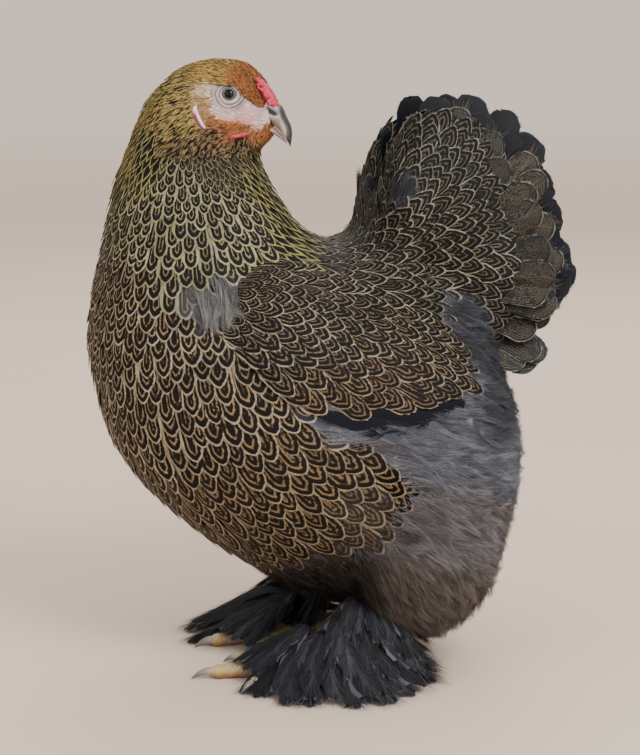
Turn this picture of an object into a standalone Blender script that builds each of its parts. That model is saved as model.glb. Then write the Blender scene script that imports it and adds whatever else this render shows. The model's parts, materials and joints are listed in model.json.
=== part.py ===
"""A life-size partridge brahma hen that stands on both feet and looks back over her left shoulder.

The hen faces -Y, her left side is +X and the floor is z = 0. Lengths are in millimetres until
mm() turns them into metres. The origin is on the floor, under the middle of the whole model.
"""
import math
import random

import bmesh
import bpy
from mathutils import Matrix, Vector
from mathutils.bvhtree import BVHTree

# Driving sizes, in millimetres and degrees.
GAP = 0.35                      # clearance between pieces that touch
SHIFT = Vector((-2.7, -3.9, 0.0))  # moves the origin from between the feet to under the middle
RING_POINTS = 24                # points round each body section
HEAD_TURN = 28.0                # the bill points this far round from straight back, towards her left
NECK_PIVOT = Vector((4.0, -76.0, 0.0))  # the upright line that the neck and head turn about
HEAD_ALONG = -72.0              # head centre, along the turned sagittal plane
HEAD_UP = 409.0                 # head centre above the floor
EYE_RADIUS = 6.6
TOE_RADIUS = 6.2
BLADE = 0.9                     # thickness of a feather vane
FLAT_ANGLE = math.radians(1.2)  # faces nearer to one plane than this are joined after a Boolean

# Body sections from the rear fluff to the bill. Each row is the belly or breast side (along, up), the
# back side (along, up), the half width, and how far the section has turned with the neck, in degrees.
TORSO_ROWS = (
    (141, 140, 141, 166, 24, 0),
    (134, 106, 134, 200, 54, 0),
    (121, 72, 121, 234, 78, 0),
    (100, 40, 98, 267, 96, 0),
    (68, 30, 67, 290, 107, 0),
    (28, 40, 34, 303, 110, 0),
    (-14, 53, 10, 309, 111, 0),
    (-55, 72, -6, 314, 110, 0),
    (-92, 98, -14, 318, 106, 0),
    (-123, 126, -20, 323, 100, 0),
    (-148, 157, -23, 327, 92, 0),
    (-163, 195, -26, 331, 84, 0),
    (-170, 236, -29, 336, 76, 0),
    (-167, 272, -32, 341, 69, 2),
)
NECK_ROWS = (
    TORSO_ROWS[-1],
    (-160, 305, -36, 347, 62, 6),
    (-154, 334, -40, 354, 56, 11),
    (-147, 360, -43, 361, 50, 16),
    (-137, 385, -46, 367, 43, 21),
    (-127, 410, -47, 372, 35, 25),
)
HEAD_ROWS = (
    NECK_ROWS[-1],
    (-107, 430, -47, 374, 26.5, 28),
    (-81, 438.5, -45, 377, 19.5, 28),
    (-62, 435, -43, 379, 16.5, 28),
    (-51, 427, -40, 382, 13.5, 28),
    (-44, 418, -37.5, 385, 11, 28),
    (-39, 410, -36, 389, 8, 28),
)

PALETTE = {
    "plumage": ((0.115, 0.085, 0.05), 0.85),
    "hackle": ((0.20, 0.145, 0.055), 0.75),
    "tail_black": ((0.02, 0.022, 0.026), 0.5),
    "fluff": ((0.115, 0.105, 0.10), 0.95),
    "face": ((0.42, 0.17, 0.08), 0.7),
    "comb_red": ((0.62, 0.09, 0.10), 0.5),
    "earlobe": ((0.75, 0.50, 0.46), 0.5),
    "horn": ((0.36, 0.32, 0.27), 0.4),
    "eye": ((0.05, 0.05, 0.045), 0.15),
    "boot": ((0.035, 0.035, 0.042), 0.85),
    "toe_skin": ((0.50, 0.36, 0.17), 0.7),
}


def mm(*values):
    """A point given in millimetres from between the feet, as the metres of the finished model."""
    return (Vector(values) + SHIFT) / 1000


def turned(along, up, turn):
    """A point of the sagittal plane, after the neck has turned that plane by turn degrees."""
    share = min(1.0, turn / HEAD_TURN)
    angle = math.radians(turn)
    arm = along - NECK_PIVOT.y
    x = NECK_PIVOT.x * share + math.sin(angle) * arm
    return Vector((x, NECK_PIVOT.y + math.cos(angle) * arm, up))


def head_point(forward, side, up):
    """A point given from the head's centre: towards the bill, towards her right cheek, and up."""
    angle = math.radians(HEAD_TURN)
    across = Vector((math.cos(angle), -math.sin(angle), 0))
    return turned(HEAD_ALONG + forward, HEAD_UP + up, HEAD_TURN) + across * side


# Mesh helpers

def material(slot):
    """The Principled material of a palette entry, made once."""
    if slot in bpy.data.materials:
        return bpy.data.materials[slot]
    colour, roughness = PALETTE[slot]
    made = bpy.data.materials.new(slot)
    made.use_nodes = True
    shader = made.node_tree.nodes["Principled BSDF"]
    shader.inputs["Base Color"].default_value = (*colour, 1)
    shader.inputs["Roughness"].default_value = roughness
    return made


def add_object(name, mesh, slot=None, collection=None):
    """Links a mesh as an object of the hen, or of a helper collection."""
    made = bpy.data.objects.new(name, mesh)
    (collection or bpy.data.collections["brahma_hen"]).objects.link(made)
    if slot:
        mesh.materials.clear()
        mesh.materials.append(material(slot))
    return made


def mesh_from(points, faces, name="piece"):
    """A mesh of points in millimetres, in the finished model's metres, with its faces turned out."""
    mesh = bpy.data.meshes.new(name)
    mesh.from_pydata([mm(*point) for point in points], [], faces)
    shell = bmesh.new()
    shell.from_mesh(mesh)
    bmesh.ops.triangulate(shell, faces=shell.faces)
    bmesh.ops.recalc_face_normals(shell, faces=shell.faces)
    if shell.calc_volume(signed=True) < 0:
        bmesh.ops.reverse_faces(shell, faces=shell.faces)
    shell.to_mesh(mesh)
    shell.free()
    return mesh


def loft(rings, name="piece"):
    """A closed mesh through rings of equal count, with a fan over each end."""
    count = len(rings[0])
    points = [point for ring in rings for point in ring]
    faces = []
    for row in range(len(rings) - 1):
        for i in range(count):
            j = (i + 1) % count
            low, high = row * count, (row + 1) * count
            faces.append((low + i, low + j, high + j, high + i))
    for ring, first in ((rings[0], 0), (rings[-1], (len(rings) - 1) * count)):
        centre = sum((Vector(point) for point in ring), Vector()) / count
        points.append(centre)
        hub = len(points) - 1
        faces += [(first + i, first + (i + 1) % count, hub) for i in range(count)]
    return mesh_from(points, faces, name)


def between(a, b, share):
    return [x + (y - x) * share for x, y in zip(a, b)]


def section(row, count=RING_POINTS, fullness=0.92):
    """The ring of one body row: an oval a little fuller than an ellipse."""
    outer_along, outer_up, inner_along, inner_up, half_width, turn = row
    outer = turned(outer_along, outer_up, turn)
    inner = turned(inner_along, inner_up, turn)
    angle = math.radians(turn)
    across = Vector((math.cos(angle), -math.sin(angle), 0)) * half_width
    middle, half = (outer + inner) / 2, (outer - inner) / 2
    ring = []
    for i in range(count):
        around = 2 * math.pi * i / count
        c, s = math.cos(around), math.sin(around)
        c_full = math.copysign(abs(c) ** fullness, c)
        s_full = math.copysign(abs(s) ** fullness, s)
        ring.append(middle + half * c_full + across * s_full)
    return ring


def rows_between(rows, steps):
    """The rows with steps - 1 more between each pair, on a smooth curve through them."""
    made = []
    for i in range(len(rows) - 1):
        before, a, b = rows[max(i - 1, 0)], rows[i], rows[i + 1]
        after = rows[min(i + 2, len(rows) - 1)]
        for k in range(steps):
            t = k / steps
            made.append([
                0.5 * (2 * q + (r - p) * t + (2 * p - 5 * q + 4 * r - s) * t * t
                       + (3 * q - p - 3 * r + s) * t ** 3)
                for p, q, r, s in zip(before, a, b, after)
            ])
    made.append(list(rows[-1]))
    return made


def moved_ring(ring, towards, distance):
    """The ring moved bodily by distance towards the middle of another ring."""
    here = sum(ring, Vector()) / len(ring)
    there = sum(towards, Vector()) / len(towards)
    step = (there - here).normalized() * distance
    return [point + step for point in ring]


def tube(path, radii, sides=10, name="piece"):
    """A tapered round tube along a path of points."""
    rings = []
    for i, point in enumerate(path):
        ahead = Vector(path[min(i + 1, len(path) - 1)]) - Vector(path[max(i - 1, 0)])
        ahead.normalize()
        side = ahead.cross(Vector((0, 0, 1)))
        if side.length < 1e-3:
            side = ahead.cross(Vector((0, 1, 0)))
        side.normalize()
        up = side.cross(ahead)
        rings.append([
            Vector(point) + (side * math.cos(a) + up * math.sin(a)) * radii[i]
            for a in (2 * math.pi * k / sides for k in range(sides))
        ])
    return loft(rings, name)


def ball(centre, radii, frame=None, segments=14, rings=9, name="piece"):
    """An ellipsoid from the sphere primitive, turned by a frame of three axes."""
    shell = bmesh.new()
    bmesh.ops.create_uvsphere(shell, u_segments=segments, v_segments=rings, radius=1)
    axes = frame or (Vector((1, 0, 0)), Vector((0, 1, 0)), Vector((0, 0, 1)))
    for vertex in shell.verts:
        point = Vector(centre)
        for axis, radius, share in zip(axes, radii, vertex.co):
            point += axis * radius * share
        vertex.co = mm(*point)
    bmesh.ops.triangulate(shell, faces=shell.faces)
    if shell.calc_volume(signed=True) < 0:
        bmesh.ops.reverse_faces(shell, faces=shell.faces)
    mesh = bpy.data.meshes.new(name)
    shell.to_mesh(mesh)
    shell.free()
    return mesh


def grown(mesh, by):
    """A copy of a closed mesh with every point moved out along its normal by some millimetres."""
    copy = mesh.copy()
    normals = [vertex.normal.copy() for vertex in copy.vertices]
    for vertex, normal in zip(copy.vertices, normals):
        vertex.co += normal * by / 1000
    return copy


def boolean(mesh, others, operation, solver="MANIFOLD"):
    """The mesh joined with, or cut by, all the others in one Boolean, which is applied."""
    if not others:
        return mesh
    helpers = bpy.data.collections.new("helpers")
    bpy.context.scene.collection.children.link(helpers)
    target = bpy.data.objects.new("target", mesh)
    bpy.context.scene.collection.objects.link(target)
    for other in others:
        add_object("helper", other, collection=helpers)
    modifier = target.modifiers.new("join", "BOOLEAN")
    modifier.operation = operation
    modifier.operand_type = "COLLECTION"
    modifier.collection = helpers
    modifier.solver = solver
    graph = bpy.context.evaluated_depsgraph_get()
    graph.update()
    made = bpy.data.meshes.new_from_object(target.evaluated_get(graph))
    for helper in list(helpers.objects):
        bpy.data.objects.remove(helper)
    bpy.data.objects.remove(target)
    bpy.data.collections.remove(helpers)
    return largest(made)


def largest(mesh):
    """The mesh with only its largest closed surface, without scraps, sealed hollows or flat splits."""
    shell = bmesh.new()
    shell.from_mesh(mesh)
    shell.faces.ensure_lookup_table()
    seen, groups = set(), []
    for start in shell.faces:
        if start.index in seen:
            continue
        group, front = [], [start]
        seen.add(start.index)
        while front:
            face = front.pop()
            group.append(face)
            for edge in face.edges:
                for near in edge.link_faces:
                    if near.index not in seen:
                        seen.add(near.index)
                        front.append(near)
        groups.append(group)
    groups.sort(key=lambda faces: sum(face.calc_area() for face in faces), reverse=True)
    spare = [face for group in groups[1:] for face in group]
    bmesh.ops.delete(shell, geom=spare, context="FACES")
    bmesh.ops.dissolve_limit(shell, angle_limit=FLAT_ANGLE, verts=shell.verts, edges=shell.edges)
    bmesh.ops.triangulate(shell, faces=shell.faces)
    shell.to_mesh(mesh)
    shell.free()
    return mesh


def surface_of(*meshes):
    """A search tree over closed meshes, in metres."""
    points, faces = [], []
    for mesh in meshes:
        first = len(points)
        points += [vertex.co.copy() for vertex in mesh.vertices]
        faces += [[first + i for i in polygon.vertices] for polygon in mesh.polygons]
    return BVHTree.FromPolygons(points, faces)


# Feather vanes

# Share of the half width at each section, from root to tip.
ROUNDED_4 = (0.5, 0.95, 0.98, 0.46)
POINTED_4 = (0.55, 1.0, 0.72, 0.1)


def blade(path, outs, half_width, shape=ROUNDED_4, thickness=BLADE, arch=0.14):
    """A closed vane along a path, arched across, with both faces split into triangles alike."""
    points, faces = [], []
    last = len(path) - 1
    for i, (spot, out) in enumerate(zip(path, outs)):
        ahead = (path[min(i + 1, last)] - path[max(i - 1, 0)]).normalized()
        across = ahead.cross(out).normalized()
        out = across.cross(ahead).normalized()
        half = half_width * shape[i]
        thin = thickness / 2 * (0.7 if i == last else 1.0)
        edge = spot - out * arch * half
        points += [edge - across * half, spot + out * thin, edge + across * half, spot - out * thin]
    for i in range(last):
        a, b = i * 4, i * 4 + 4
        left, top, right, low = range(a, a + 4)
        left_b, top_b, right_b, low_b = range(b, b + 4)
        faces += [
            (left, top, left_b), (top, top_b, left_b), (right, right_b, top), (top, right_b, top_b),
            (left, left_b, low), (low, left_b, low_b), (right, low, right_b), (low, low_b, right_b),
        ]
    end = last * 4
    faces += [(0, 3, 1), (1, 3, 2), (end, end + 1, end + 3), (end + 1, end + 2, end + 3)]
    return mesh_from(points, faces, "vane")


def curve(start, middle, end, steps=(0.0, 0.38, 0.76, 1.0)):
    """Points along a quadratic curve that passes its middle point at half way."""
    handle = middle * 2 - (start + end) / 2
    return [start * (1 - t) ** 2 + handle * 2 * t * (1 - t) + end * t * t for t in steps]


# The body: torso, neck and head as one form, parted by thin cuts

def body_spot(rows, place, angle):
    """A point of a body form at a place along its rows and an angle round them, and the way out."""
    def at(where, around):
        where = min(max(where, 0.0), len(rows) - 1.0)
        low = min(int(where), len(rows) - 2)
        row = between(rows[low], rows[low + 1], where - low)
        c, s = math.cos(around), math.sin(around)
        outer, inner = turned(row[0], row[1], row[5]), turned(row[2], row[3], row[5])
        turn = math.radians(row[5])
        across = Vector((math.cos(turn), -math.sin(turn), 0)) * row[4]
        return ((outer + inner) / 2 + (outer - inner) / 2 * math.copysign(abs(c) ** 0.92, c)
                + across * math.copysign(abs(s) ** 0.92, s))
    spot = at(place, angle)
    along = at(place + 0.05, angle) - at(place - 0.05, angle)
    around = at(place, angle + 0.04) - at(place, angle - 0.04)
    out = along.cross(around).normalized()
    middle = (at(place, 0) + at(place, math.pi)) / 2
    return spot, out if out.dot(spot - middle) > 0 else -out


def body_part(rows, steps, name, gap_at_start=False):
    rings = [section(row) for row in rows_between(rows, steps)]
    if gap_at_start:
        rings[0] = moved_ring(rings[0], rings[1], GAP)
    return loft(rings, name)


def make_torso():
    return body_part(TORSO_ROWS, 1, "torso")


def make_neck_core():
    return body_part(NECK_ROWS, 1, "neck", gap_at_start=True)


# Hackle tiers: place of the roots along the neck rows, length in rows, vanes round, half width.
HACKLE_TIERS = ((4.75, 1.7, 11, 6.6), (3.7, 1.75, 12, 7.6), (2.7, 1.75, 12, 9.0), (1.75, 1.75, 13, 9.6))
HACKLE_ROWS = TORSO_ROWS[-3:] + NECK_ROWS[1:]
SHORTEST_HACKLE = 24.0


def make_neck(cutters):
    """The neck's core with pointed hackle vanes in tiers, each tier over the roots of the next."""
    rng = random.Random(11)
    vanes = []
    for tier, (place, length, count, half) in enumerate(HACKLE_TIERS):
        for k in range(count):
            angle = 2 * math.pi * (k + 0.5 * (tier % 2) + rng.uniform(-0.06, 0.06)) / count
            run = length * rng.uniform(0.94, 1.04)
            path, outs = [], []
            for share, lift in ((0, -3.0), (0.34, 0.1), (0.72, 2.0), (1.0, 2.9)):
                spot, out = body_spot(HACKLE_ROWS, 2 + place - run * share, angle)
                path.append(spot + out * lift)
                outs.append(out)
            if (path[-1] - path[0]).length > SHORTEST_HACKLE:
                vanes.append(blade(path, outs, half, POINTED_4, arch=0.2))
    whole = boolean(make_neck_core(), vanes, "UNION")
    return boolean(whole, [mesh.copy() for mesh in cutters], "DIFFERENCE")


def make_head_core():
    return body_part(HEAD_ROWS, 2, "head", gap_at_start=True)


# Wings

WING_THICKNESS = 9.1             # how far the wing's core stands out from the body's side


def side_point(surface, side, along, up):
    """Where a level line from outside first meets the body's side, in millimetres."""
    origin = mm(side * 300, along, up)
    hit, _, _, _ = surface.ray_cast(origin, Vector((-side, 0, 0)))
    if hit is None:
        hit, _, _, _ = surface.find_nearest(mm(side * 90, along, up))
    return hit * 1000 - SHIFT


def draped_lens(surface, side, outline, thickness, depth):
    """A closed lens that lies on the body's side inside an outline, thickest in the middle."""
    middle = [sum(point[k] for point in outline) / len(outline) for k in (0, 1)]
    shares = (1.0, 0.86, 0.6, 0.3)
    points, faces = [], []
    count = len(outline)
    for face_side in (1, -1):
        for share in shares:
            if face_side < 0 and share == 1.0:
                continue
            for along, up in outline:
                spot = between(middle, (along, up), share)
                base = side_point(surface, side, *spot)
                swell = math.sqrt(max(0.0, 1 - share ** 2.2))
                out = thickness * swell if face_side > 0 else -depth
                out += 1.2 if share == 1.0 else 0
                points.append(base + Vector((side * out, 0, 0)))
    front = [range(k * count, (k + 1) * count) for k in range(len(shares))]
    back = [front[0]] + [range((k + 3) * count, (k + 4) * count) for k in range(1, len(shares))]
    for rows in (front, back):
        for a, b in zip(rows, rows[1:]):
            faces += [(a[i], a[(i + 1) % count], b[(i + 1) % count], b[i]) for i in range(count)]
        base = side_point(surface, side, *middle)
        out = thickness if rows is front else -depth
        points.append(base + Vector((side * out, 0, 0)))
        hub = len(points) - 1
        inner = rows[-1]
        faces += [(inner[i], inner[(i + 1) % count], hub) for i in range(count)]
    return mesh_from(points, faces, "wing")


# Wing tiers, from the shoulder to the tip. Each has the start of its roots and their end across the
# wing, both as (along the wing, across it), the vanes' length, their count and their half width.
WING_ORIGIN = (-92, 286)
WING_SLOPE = -27.0
WING_TIERS = (
    ((2, 24), (10, -22), 38, 4, 8.6),
    ((26, 38), (36, -34), 40, 6, 8.4),
    ((54, 43), (62, -40), 42, 7, 8.4),
    ((82, 44), (86, -34), 48, 6, 8.6),
    ((110, 42), (108, -28), 56, 6, 7.8),
    ((136, 32), (128, -15), 62, 4, 7.4),
)
WING_CORE = ((-84, 308), (-93, 290), (-92, 266), (-74, 240), (-48, 222), (-20, 214), (4, 214),
             (16, 226), (18, 246), (12, 266), (-8, 284), (-30, 298), (-58, 309))


def wing_spot(body, side, along, across, lift):
    """A point over the folded wing, given along and across it, lifted from the body's side."""
    angle = math.radians(WING_SLOPE)
    y = WING_ORIGIN[0] + math.cos(angle) * along - math.sin(angle) * across
    z = WING_ORIGIN[1] + math.sin(angle) * along + math.cos(angle) * across
    return side_point(body, side, y, z) + Vector((side * lift, 0, 0))


def wing_height(along, across):
    """How far the plumage of the folded wing stands out from the body's side."""
    return 9.0 * (1 - (abs(across) / 60) ** 2) * (1 - 0.62 * along / 190) + 1.5


def make_wing(side, body, cutters):
    """The wing's core with its coverts, secondaries and primaries as vanes in tiers."""
    rng = random.Random(23)
    core = draped_lens(body, side, WING_CORE, WING_THICKNESS, 6.0)
    vanes = []
    for tier, (first, last, length, count, half) in enumerate(WING_TIERS):
        for k in range(count):
            share = (k + 0.5 + 0.25 * (1 if tier % 2 else -1)) / count
            along, across = between(first, last, share)
            turn = math.radians(rng.uniform(-2.5, 2.5) - across * 0.24)
            run = length * rng.uniform(0.95, 1.05)
            path, outs = [], []
            for step, lift in ((0, -3.6), (0.36, -0.6), (0.74, 1.0), (1.0, 1.5)):
                u = along + run * step * math.cos(turn)
                v = across + run * step * math.sin(turn)
                height = max(wing_height(u, v) + lift, 1.3 if step else -3)
                path.append(wing_spot(body, side, u, v, height))
                outs.append(Vector((side, 0, 0.25)).normalized())
            vanes.append(blade(path, outs, half))
    whole = boolean(core, vanes, "UNION")
    return boolean(whole, [mesh.copy() for mesh in cutters], "DIFFERENCE")


# Thighs, boots and feet

THIGH_CENTRE = (66, 56, 106)
THIGH_RADII = (50, 58, 78)
HOCK = (50, 32, 66)
ANKLE = (44, -24, 13)
STEP_BACK = 22.0                # the right foot stands this far behind the left


def mirrored(point, side):
    """A point of the left leg, or of the right one, which stands further back below the hock."""
    x, y, z = point
    return Vector((x, y, z)) if side > 0 else Vector((-x, y + STEP_BACK * (1 - min(z, 66) / 90), z))


def make_thigh(side, cutters):
    centre = Vector((side * THIGH_CENTRE[0], THIGH_CENTRE[1], THIGH_CENTRE[2]))
    core = ball(centre, THIGH_RADII, segments=16, rings=10, name="thigh")
    return boolean(core, [mesh.copy() for mesh in cutters], "DIFFERENCE")


# The boot's core: the shank's feathers as a tube, and a small pad at the ankle.
BOOT_RADII = (13, 15, 15, 14, 12)
BOOT_PAD = ((14, 10, 2), (25, 26, 15))
# Boot tiers: root height on the leg, its spread, tip height, half width, and for each vane its heading
# (0 is outwards, 90 is back) and length. The right foot's feathers are swept further forwards.
BOOT_TIERS = {
    1: (
        (15, 0.5, 9.6, ((-52, 68), (-26, 83), (-2, 96), (21, 101), (44, 100), (68, 90))),
        (28, 12, 9.2, ((-40, 62), (-12, 68), (14, 76), (38, 78), (62, 72))),
        (43, 29, 8.4, ((-24, 48), (8, 54), (36, 56), (64, 50))),
    ),
    -1: (
        (15, 0.5, 9.6, ((-76, 90), (-54, 103), (-30, 100), (-4, 89.6), (24, 80), (52, 70))),
        (28, 12, 9.2, ((-66, 74), (-42, 80), (-14, 72), (14, 66), (44, 58))),
        (43, 29, 8.4, ((-52, 56), (-20, 56), (14, 50), (46, 46))),
    ),
}


def shank_path(side):
    hock, ankle = mirrored(HOCK, side), mirrored(ANKLE, side)
    return [hock + (ankle - hock) * share for share in (-0.15, 0.1, 0.4, 0.7, 0.95)]


def make_boot(side, cutters):
    """The feathered shank, with its foot feathers as vanes in tiers that fan out over the floor."""
    rng = random.Random(31 + side)
    core = tube(shank_path(side), BOOT_RADII, sides=12, name="boot")
    hock, ankle = mirrored(HOCK, side), mirrored(ANKLE, side)
    offset, radii = BOOT_PAD
    pad = ball(ankle + Vector((side * offset[0], offset[1], offset[2])), radii, segments=12, rings=6)
    vanes = []
    for root_up, tip_up, half, feathers in BOOT_TIERS[side]:
        base = ankle + (hock - ankle) * ((root_up - ankle.z) / (hock.z - ankle.z))
        for heading, length in feathers:
            angle = math.radians(heading + rng.uniform(-4, 4))
            way = Vector((side * math.cos(angle), math.sin(angle), 0))
            reach = length * rng.uniform(0.96, 1.03)
            start = base + way * 5
            end = base + way * reach
            end.z = tip_up * rng.uniform(1, 1.15)
            middle = (start + end) / 2 + Vector((0, 0, 4 + (root_up - tip_up) * 0.25))
            path = curve(start, middle, end)
            vanes.append(blade(path, [Vector((0, 0, 1))] * 4, half, thickness=1.2, arch=0.22))
    whole = boolean(core, [pad, *vanes], "UNION")
    return boolean(whole, [floor_cutter(), *[mesh.copy() for mesh in cutters]], "DIFFERENCE")


# Toes: turn from straight ahead (outwards is positive), length, and claw length.
TOES = {
    "middle": (-6, 71, 15),
    "inner": (-38, 54, 13),
    "outer": (30, 58, 12),
    "hind": (198, 32, 11),
}


def toe_heading(side, turn):
    angle = math.radians(turn)
    return Vector((side * math.sin(angle), -math.cos(angle), 0))


def toe_path(side, toe):
    turn, length, _ = TOES[toe]
    root = mirrored((ANKLE[0], ANKLE[1], TOE_RADIUS), side)
    heading = toe_heading(side, turn)
    return [root + heading * length * share + Vector((0, 0, rise))
            for share, rise in ((0.0, 1.0), (0.3, -0.6), (0.62, -1.2), (0.94, -1.4), (1.0, -1.6))]


def floor_cutter():
    """A slab whose top is the floor, to give the soles their flats."""
    shell = bmesh.new()
    bmesh.ops.create_cube(shell, size=1)
    for vertex in shell.verts:
        vertex.co = mm(vertex.co.x * 600, vertex.co.y * 600, (vertex.co.z - 0.5) * 60)
    mesh = bpy.data.meshes.new("floor_cutter")
    shell.to_mesh(mesh)
    shell.free()
    return mesh


def make_foot(side):
    ankle = mirrored(ANKLE, side)
    core = ball(ankle + Vector((0, 0, -4.5)), (10.5, 11.5, 10.0), segments=10, rings=6)
    toes = []
    for toe in TOES:
        radii = [TOE_RADIUS * k for k in (1.05, 0.98, 0.92, 0.8, 0.55)]
        toes.append(tube(toe_path(side, toe), radii, sides=7))
    foot = boolean(core, toes, "UNION")
    return boolean(foot, [floor_cutter()], "DIFFERENCE")


def make_claw(side, toe, foot):
    """A curved cone from the toe's end down to the floor."""
    turn, length, claw = TOES[toe]
    root = mirrored((ANKLE[0], ANKLE[1], TOE_RADIUS), side)
    heading = toe_heading(side, turn)
    start = root + heading * (length - 1.5)
    lifts = ((0.0, -1.0), (0.35, -0.6), (0.7, -2.2), (1.0, -4.9))
    path = [start + heading * claw * share + Vector((0, 0, rise)) for share, rise in lifts]
    core = tube(path, [2.9, 2.5, 1.6, 0.45], sides=6, name="claw")
    return boolean(core, [grown(foot, GAP)], "DIFFERENCE")


# Tail

TAIL_ROOT = (0, 70, 282)
# Headings above straight back, the reach of the feather tips from the root, and the half width.
TAIL_FAN = (
    (150, 56, 56), (128, 66, 64), (108, 96, 64), (92, 128, 58), (74, 137, 54), (56, 131, 56),
    (38, 122, 62), (20, 117, 70), (2, 118, 74), (-16, 110, 72), (-34, 104, 64), (-50, 84, 52),
)
# Half of the fan's cross section: share of the half width, share of the reach.
TAIL_SECTION = ((0, 0.86), (0.3, 1.0), (0.62, 0.93), (0.88, 0.74), (1.0, 0.48), (0.86, 0.22), (0.4, 0.06))


def fan_point(heading, reach, side=0.0):
    angle = math.radians(heading)
    return Vector((side, TAIL_ROOT[1] + reach * math.cos(angle), TAIL_ROOT[2] + reach * math.sin(angle)))


def make_tail_core(share):
    """The cushion as one two-lobed form, out to the given share of the feathers' reach."""
    rings = []
    for heading, reach, width in TAIL_FAN:
        half = [fan_point(heading, reach * out * share, width * 0.86 * across)
                for across, out in TAIL_SECTION]
        other = [Vector((-point.x, point.y, point.z)) for point in reversed(half[1:])]
        rings.append(half + other)
    return loft(rings, "tail")


# Tail tiers on each side, from the main feathers out to the cushion: the root's reach and distance
# from the middle, the half width, and each vane's heading, reach and tip's distance from the middle.
TAIL_TIERS = (
    (34, 7, 17.0, ((90, 121, 8), (79, 132, 15), (67, 134, 23), (54, 130, 34), (40, 118, 46),
                   (25, 106, 57), (4, 105, 69))),
    (32, 16, 15.5, ((97, 88, 40), (85, 102, 34), (72, 110, 37), (59, 106, 44), (45, 98, 52),
                    (30, 93, 60), (14, 88, 66), (-5, 80, 68), (-23, 88, 64), (-40, 102, 52))),
    (26, 30, 14.0, ((116, 60, 56), (98, 74, 54), (79, 82, 56), (59, 79, 62), (38, 74, 68),
                    (16, 70, 71), (-10, 70, 70))),
)


def make_tail(cutters):
    """The fan's main feathers with tiers of coverts over them, on the cushion's core."""
    rng = random.Random(47)
    vanes = []
    for side in (1, -1):
        for tier, (root_reach, root_side, half, feathers) in enumerate(TAIL_TIERS):
            for heading, reach, tip_side in feathers:
                heading += rng.uniform(-1.5, 1.5)
                reach *= rng.uniform(0.98, 1.02)
                start = fan_point(heading, root_reach, side * root_side)
                end = fan_point(heading, reach, side * tip_side)
                middle = (start + end) / 2 + Vector((side * (2.0 + 1.8 * tier), 0, 0))
                path = curve(start, middle, end)
                angle = math.radians(heading)
                round_fan = Vector((-0.35 * side, -math.sin(angle), math.cos(angle)))
                out = (end - start).cross(round_fan).normalized()
                out = out if out.x * side > 0 else -out
                vanes.append(blade(path, [out] * 4, half, ROUNDED_4, thickness=1.1, arch=0.1))
    whole = boolean(make_tail_core(0.6), vanes, "UNION")
    return boolean(whole, [mesh.copy() for mesh in cutters], "DIFFERENCE")


# Head pieces

def head_rings(rows, count=10):
    """Rings from rows of (top forward, top up, bottom forward, bottom up, half width)."""
    rings = []
    for top_f, top_u, low_f, low_u, half in rows:
        top, low = head_point(top_f, 0, top_u), head_point(low_f, 0, low_u)
        across = head_point(0, 1, 0) - head_point(0, 0, 0)
        middle, reach = (top + low) / 2, (top - low) / 2
        rings.append([
            middle + reach * math.cos(a) + across * half * math.sin(a)
            for a in (2 * math.pi * k / count for k in range(count))
        ])
    return rings


BEAK_UPPER_ROWS = (
    (26, 6, 20, -17, 9.5), (35, 2, 30, -17.5, 8.4), (42, -6, 37, -19.5, 6.8),
    (47, -16, 43, -23.5, 4.6), (50, -25, 47.2, -28.6, 2.3), (50.5, -31, 49.6, -33, 0.7),
)
BEAK_LOWER_ROWS = (
    (18, -18.6, 20, -29, 8.4), (30, -18.9, 30, -28, 7.2), (37, -20.6, 36.4, -27, 5.2),
    (42.4, -23.9, 42, -26.4, 2.6),
)


def make_beak(rows, cutters, name):
    return boolean(loft(head_rings(rows), name), [mesh.copy() for mesh in cutters], "DIFFERENCE")


def on_head(surface, side, forward, up):
    """The spot on the head's skin beside a point of its middle plane, and the way out there."""
    across = (head_point(0, side, 0) - head_point(0, 0, 0)).normalized()
    hit, normal, _, _ = surface.ray_cast(mm(*head_point(forward, side * 60, up)), -across)
    return hit * 1000 - SHIFT, normal.normalized()


def head_axes(side):
    """Forwards, outwards and up for one cheek."""
    origin = head_point(0, 0, 0)
    return ((head_point(1, 0, 0) - origin).normalized(),
            (head_point(0, side, 0) - origin).normalized(), Vector((0, 0, 1)))


EYE_SPOT = (8.0, 6.2)           # forward and up from the head's centre
EYE_DEPTH = 4.3                 # how far the ball's centre lies under the skin


def make_eye(surface, side):
    spot, normal = on_head(surface, side, *EYE_SPOT)
    return ball(spot - normal * EYE_DEPTH, (EYE_RADIUS,) * 3, segments=11, rings=8, name="eye")


def ring_fold(centre, normal, up, radii, thickness, around=13, sides=5):
    """A closed oval ring of skin, thicker above than below, as round the eye."""
    across = up.cross(normal).normalized()
    up = normal.cross(across).normalized()
    points, faces = [], []
    for i in range(around):
        a = 2 * math.pi * i / around
        out = across * math.cos(a) * radii[0] + up * math.sin(a) * radii[1]
        thick = thickness * (1 + 0.18 * math.sin(a))
        for k in range(sides):
            b = 2 * math.pi * k / sides
            points.append(centre + out + out.normalized() * math.cos(b) * thick
                          + normal * math.sin(b) * thick)
    for i in range(around):
        for k in range(sides):
            j, m = (i + 1) % around, (k + 1) % sides
            faces.append((i * sides + k, i * sides + m, j * sides + m, j * sides + k))
    return mesh_from(points, faces, "fold")


def make_lids(surface, side):
    """Two rings of folded skin round the eye."""
    spot, normal = on_head(surface, side, *EYE_SPOT)
    up = Vector((0, 0, 1))
    return [ring_fold(spot + normal * 0.5, normal, up, (6.7, 6.2), 1.15),
            ring_fold(spot + normal * 0.1, normal, up, (9.3, 8.6), 0.95)]


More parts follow.
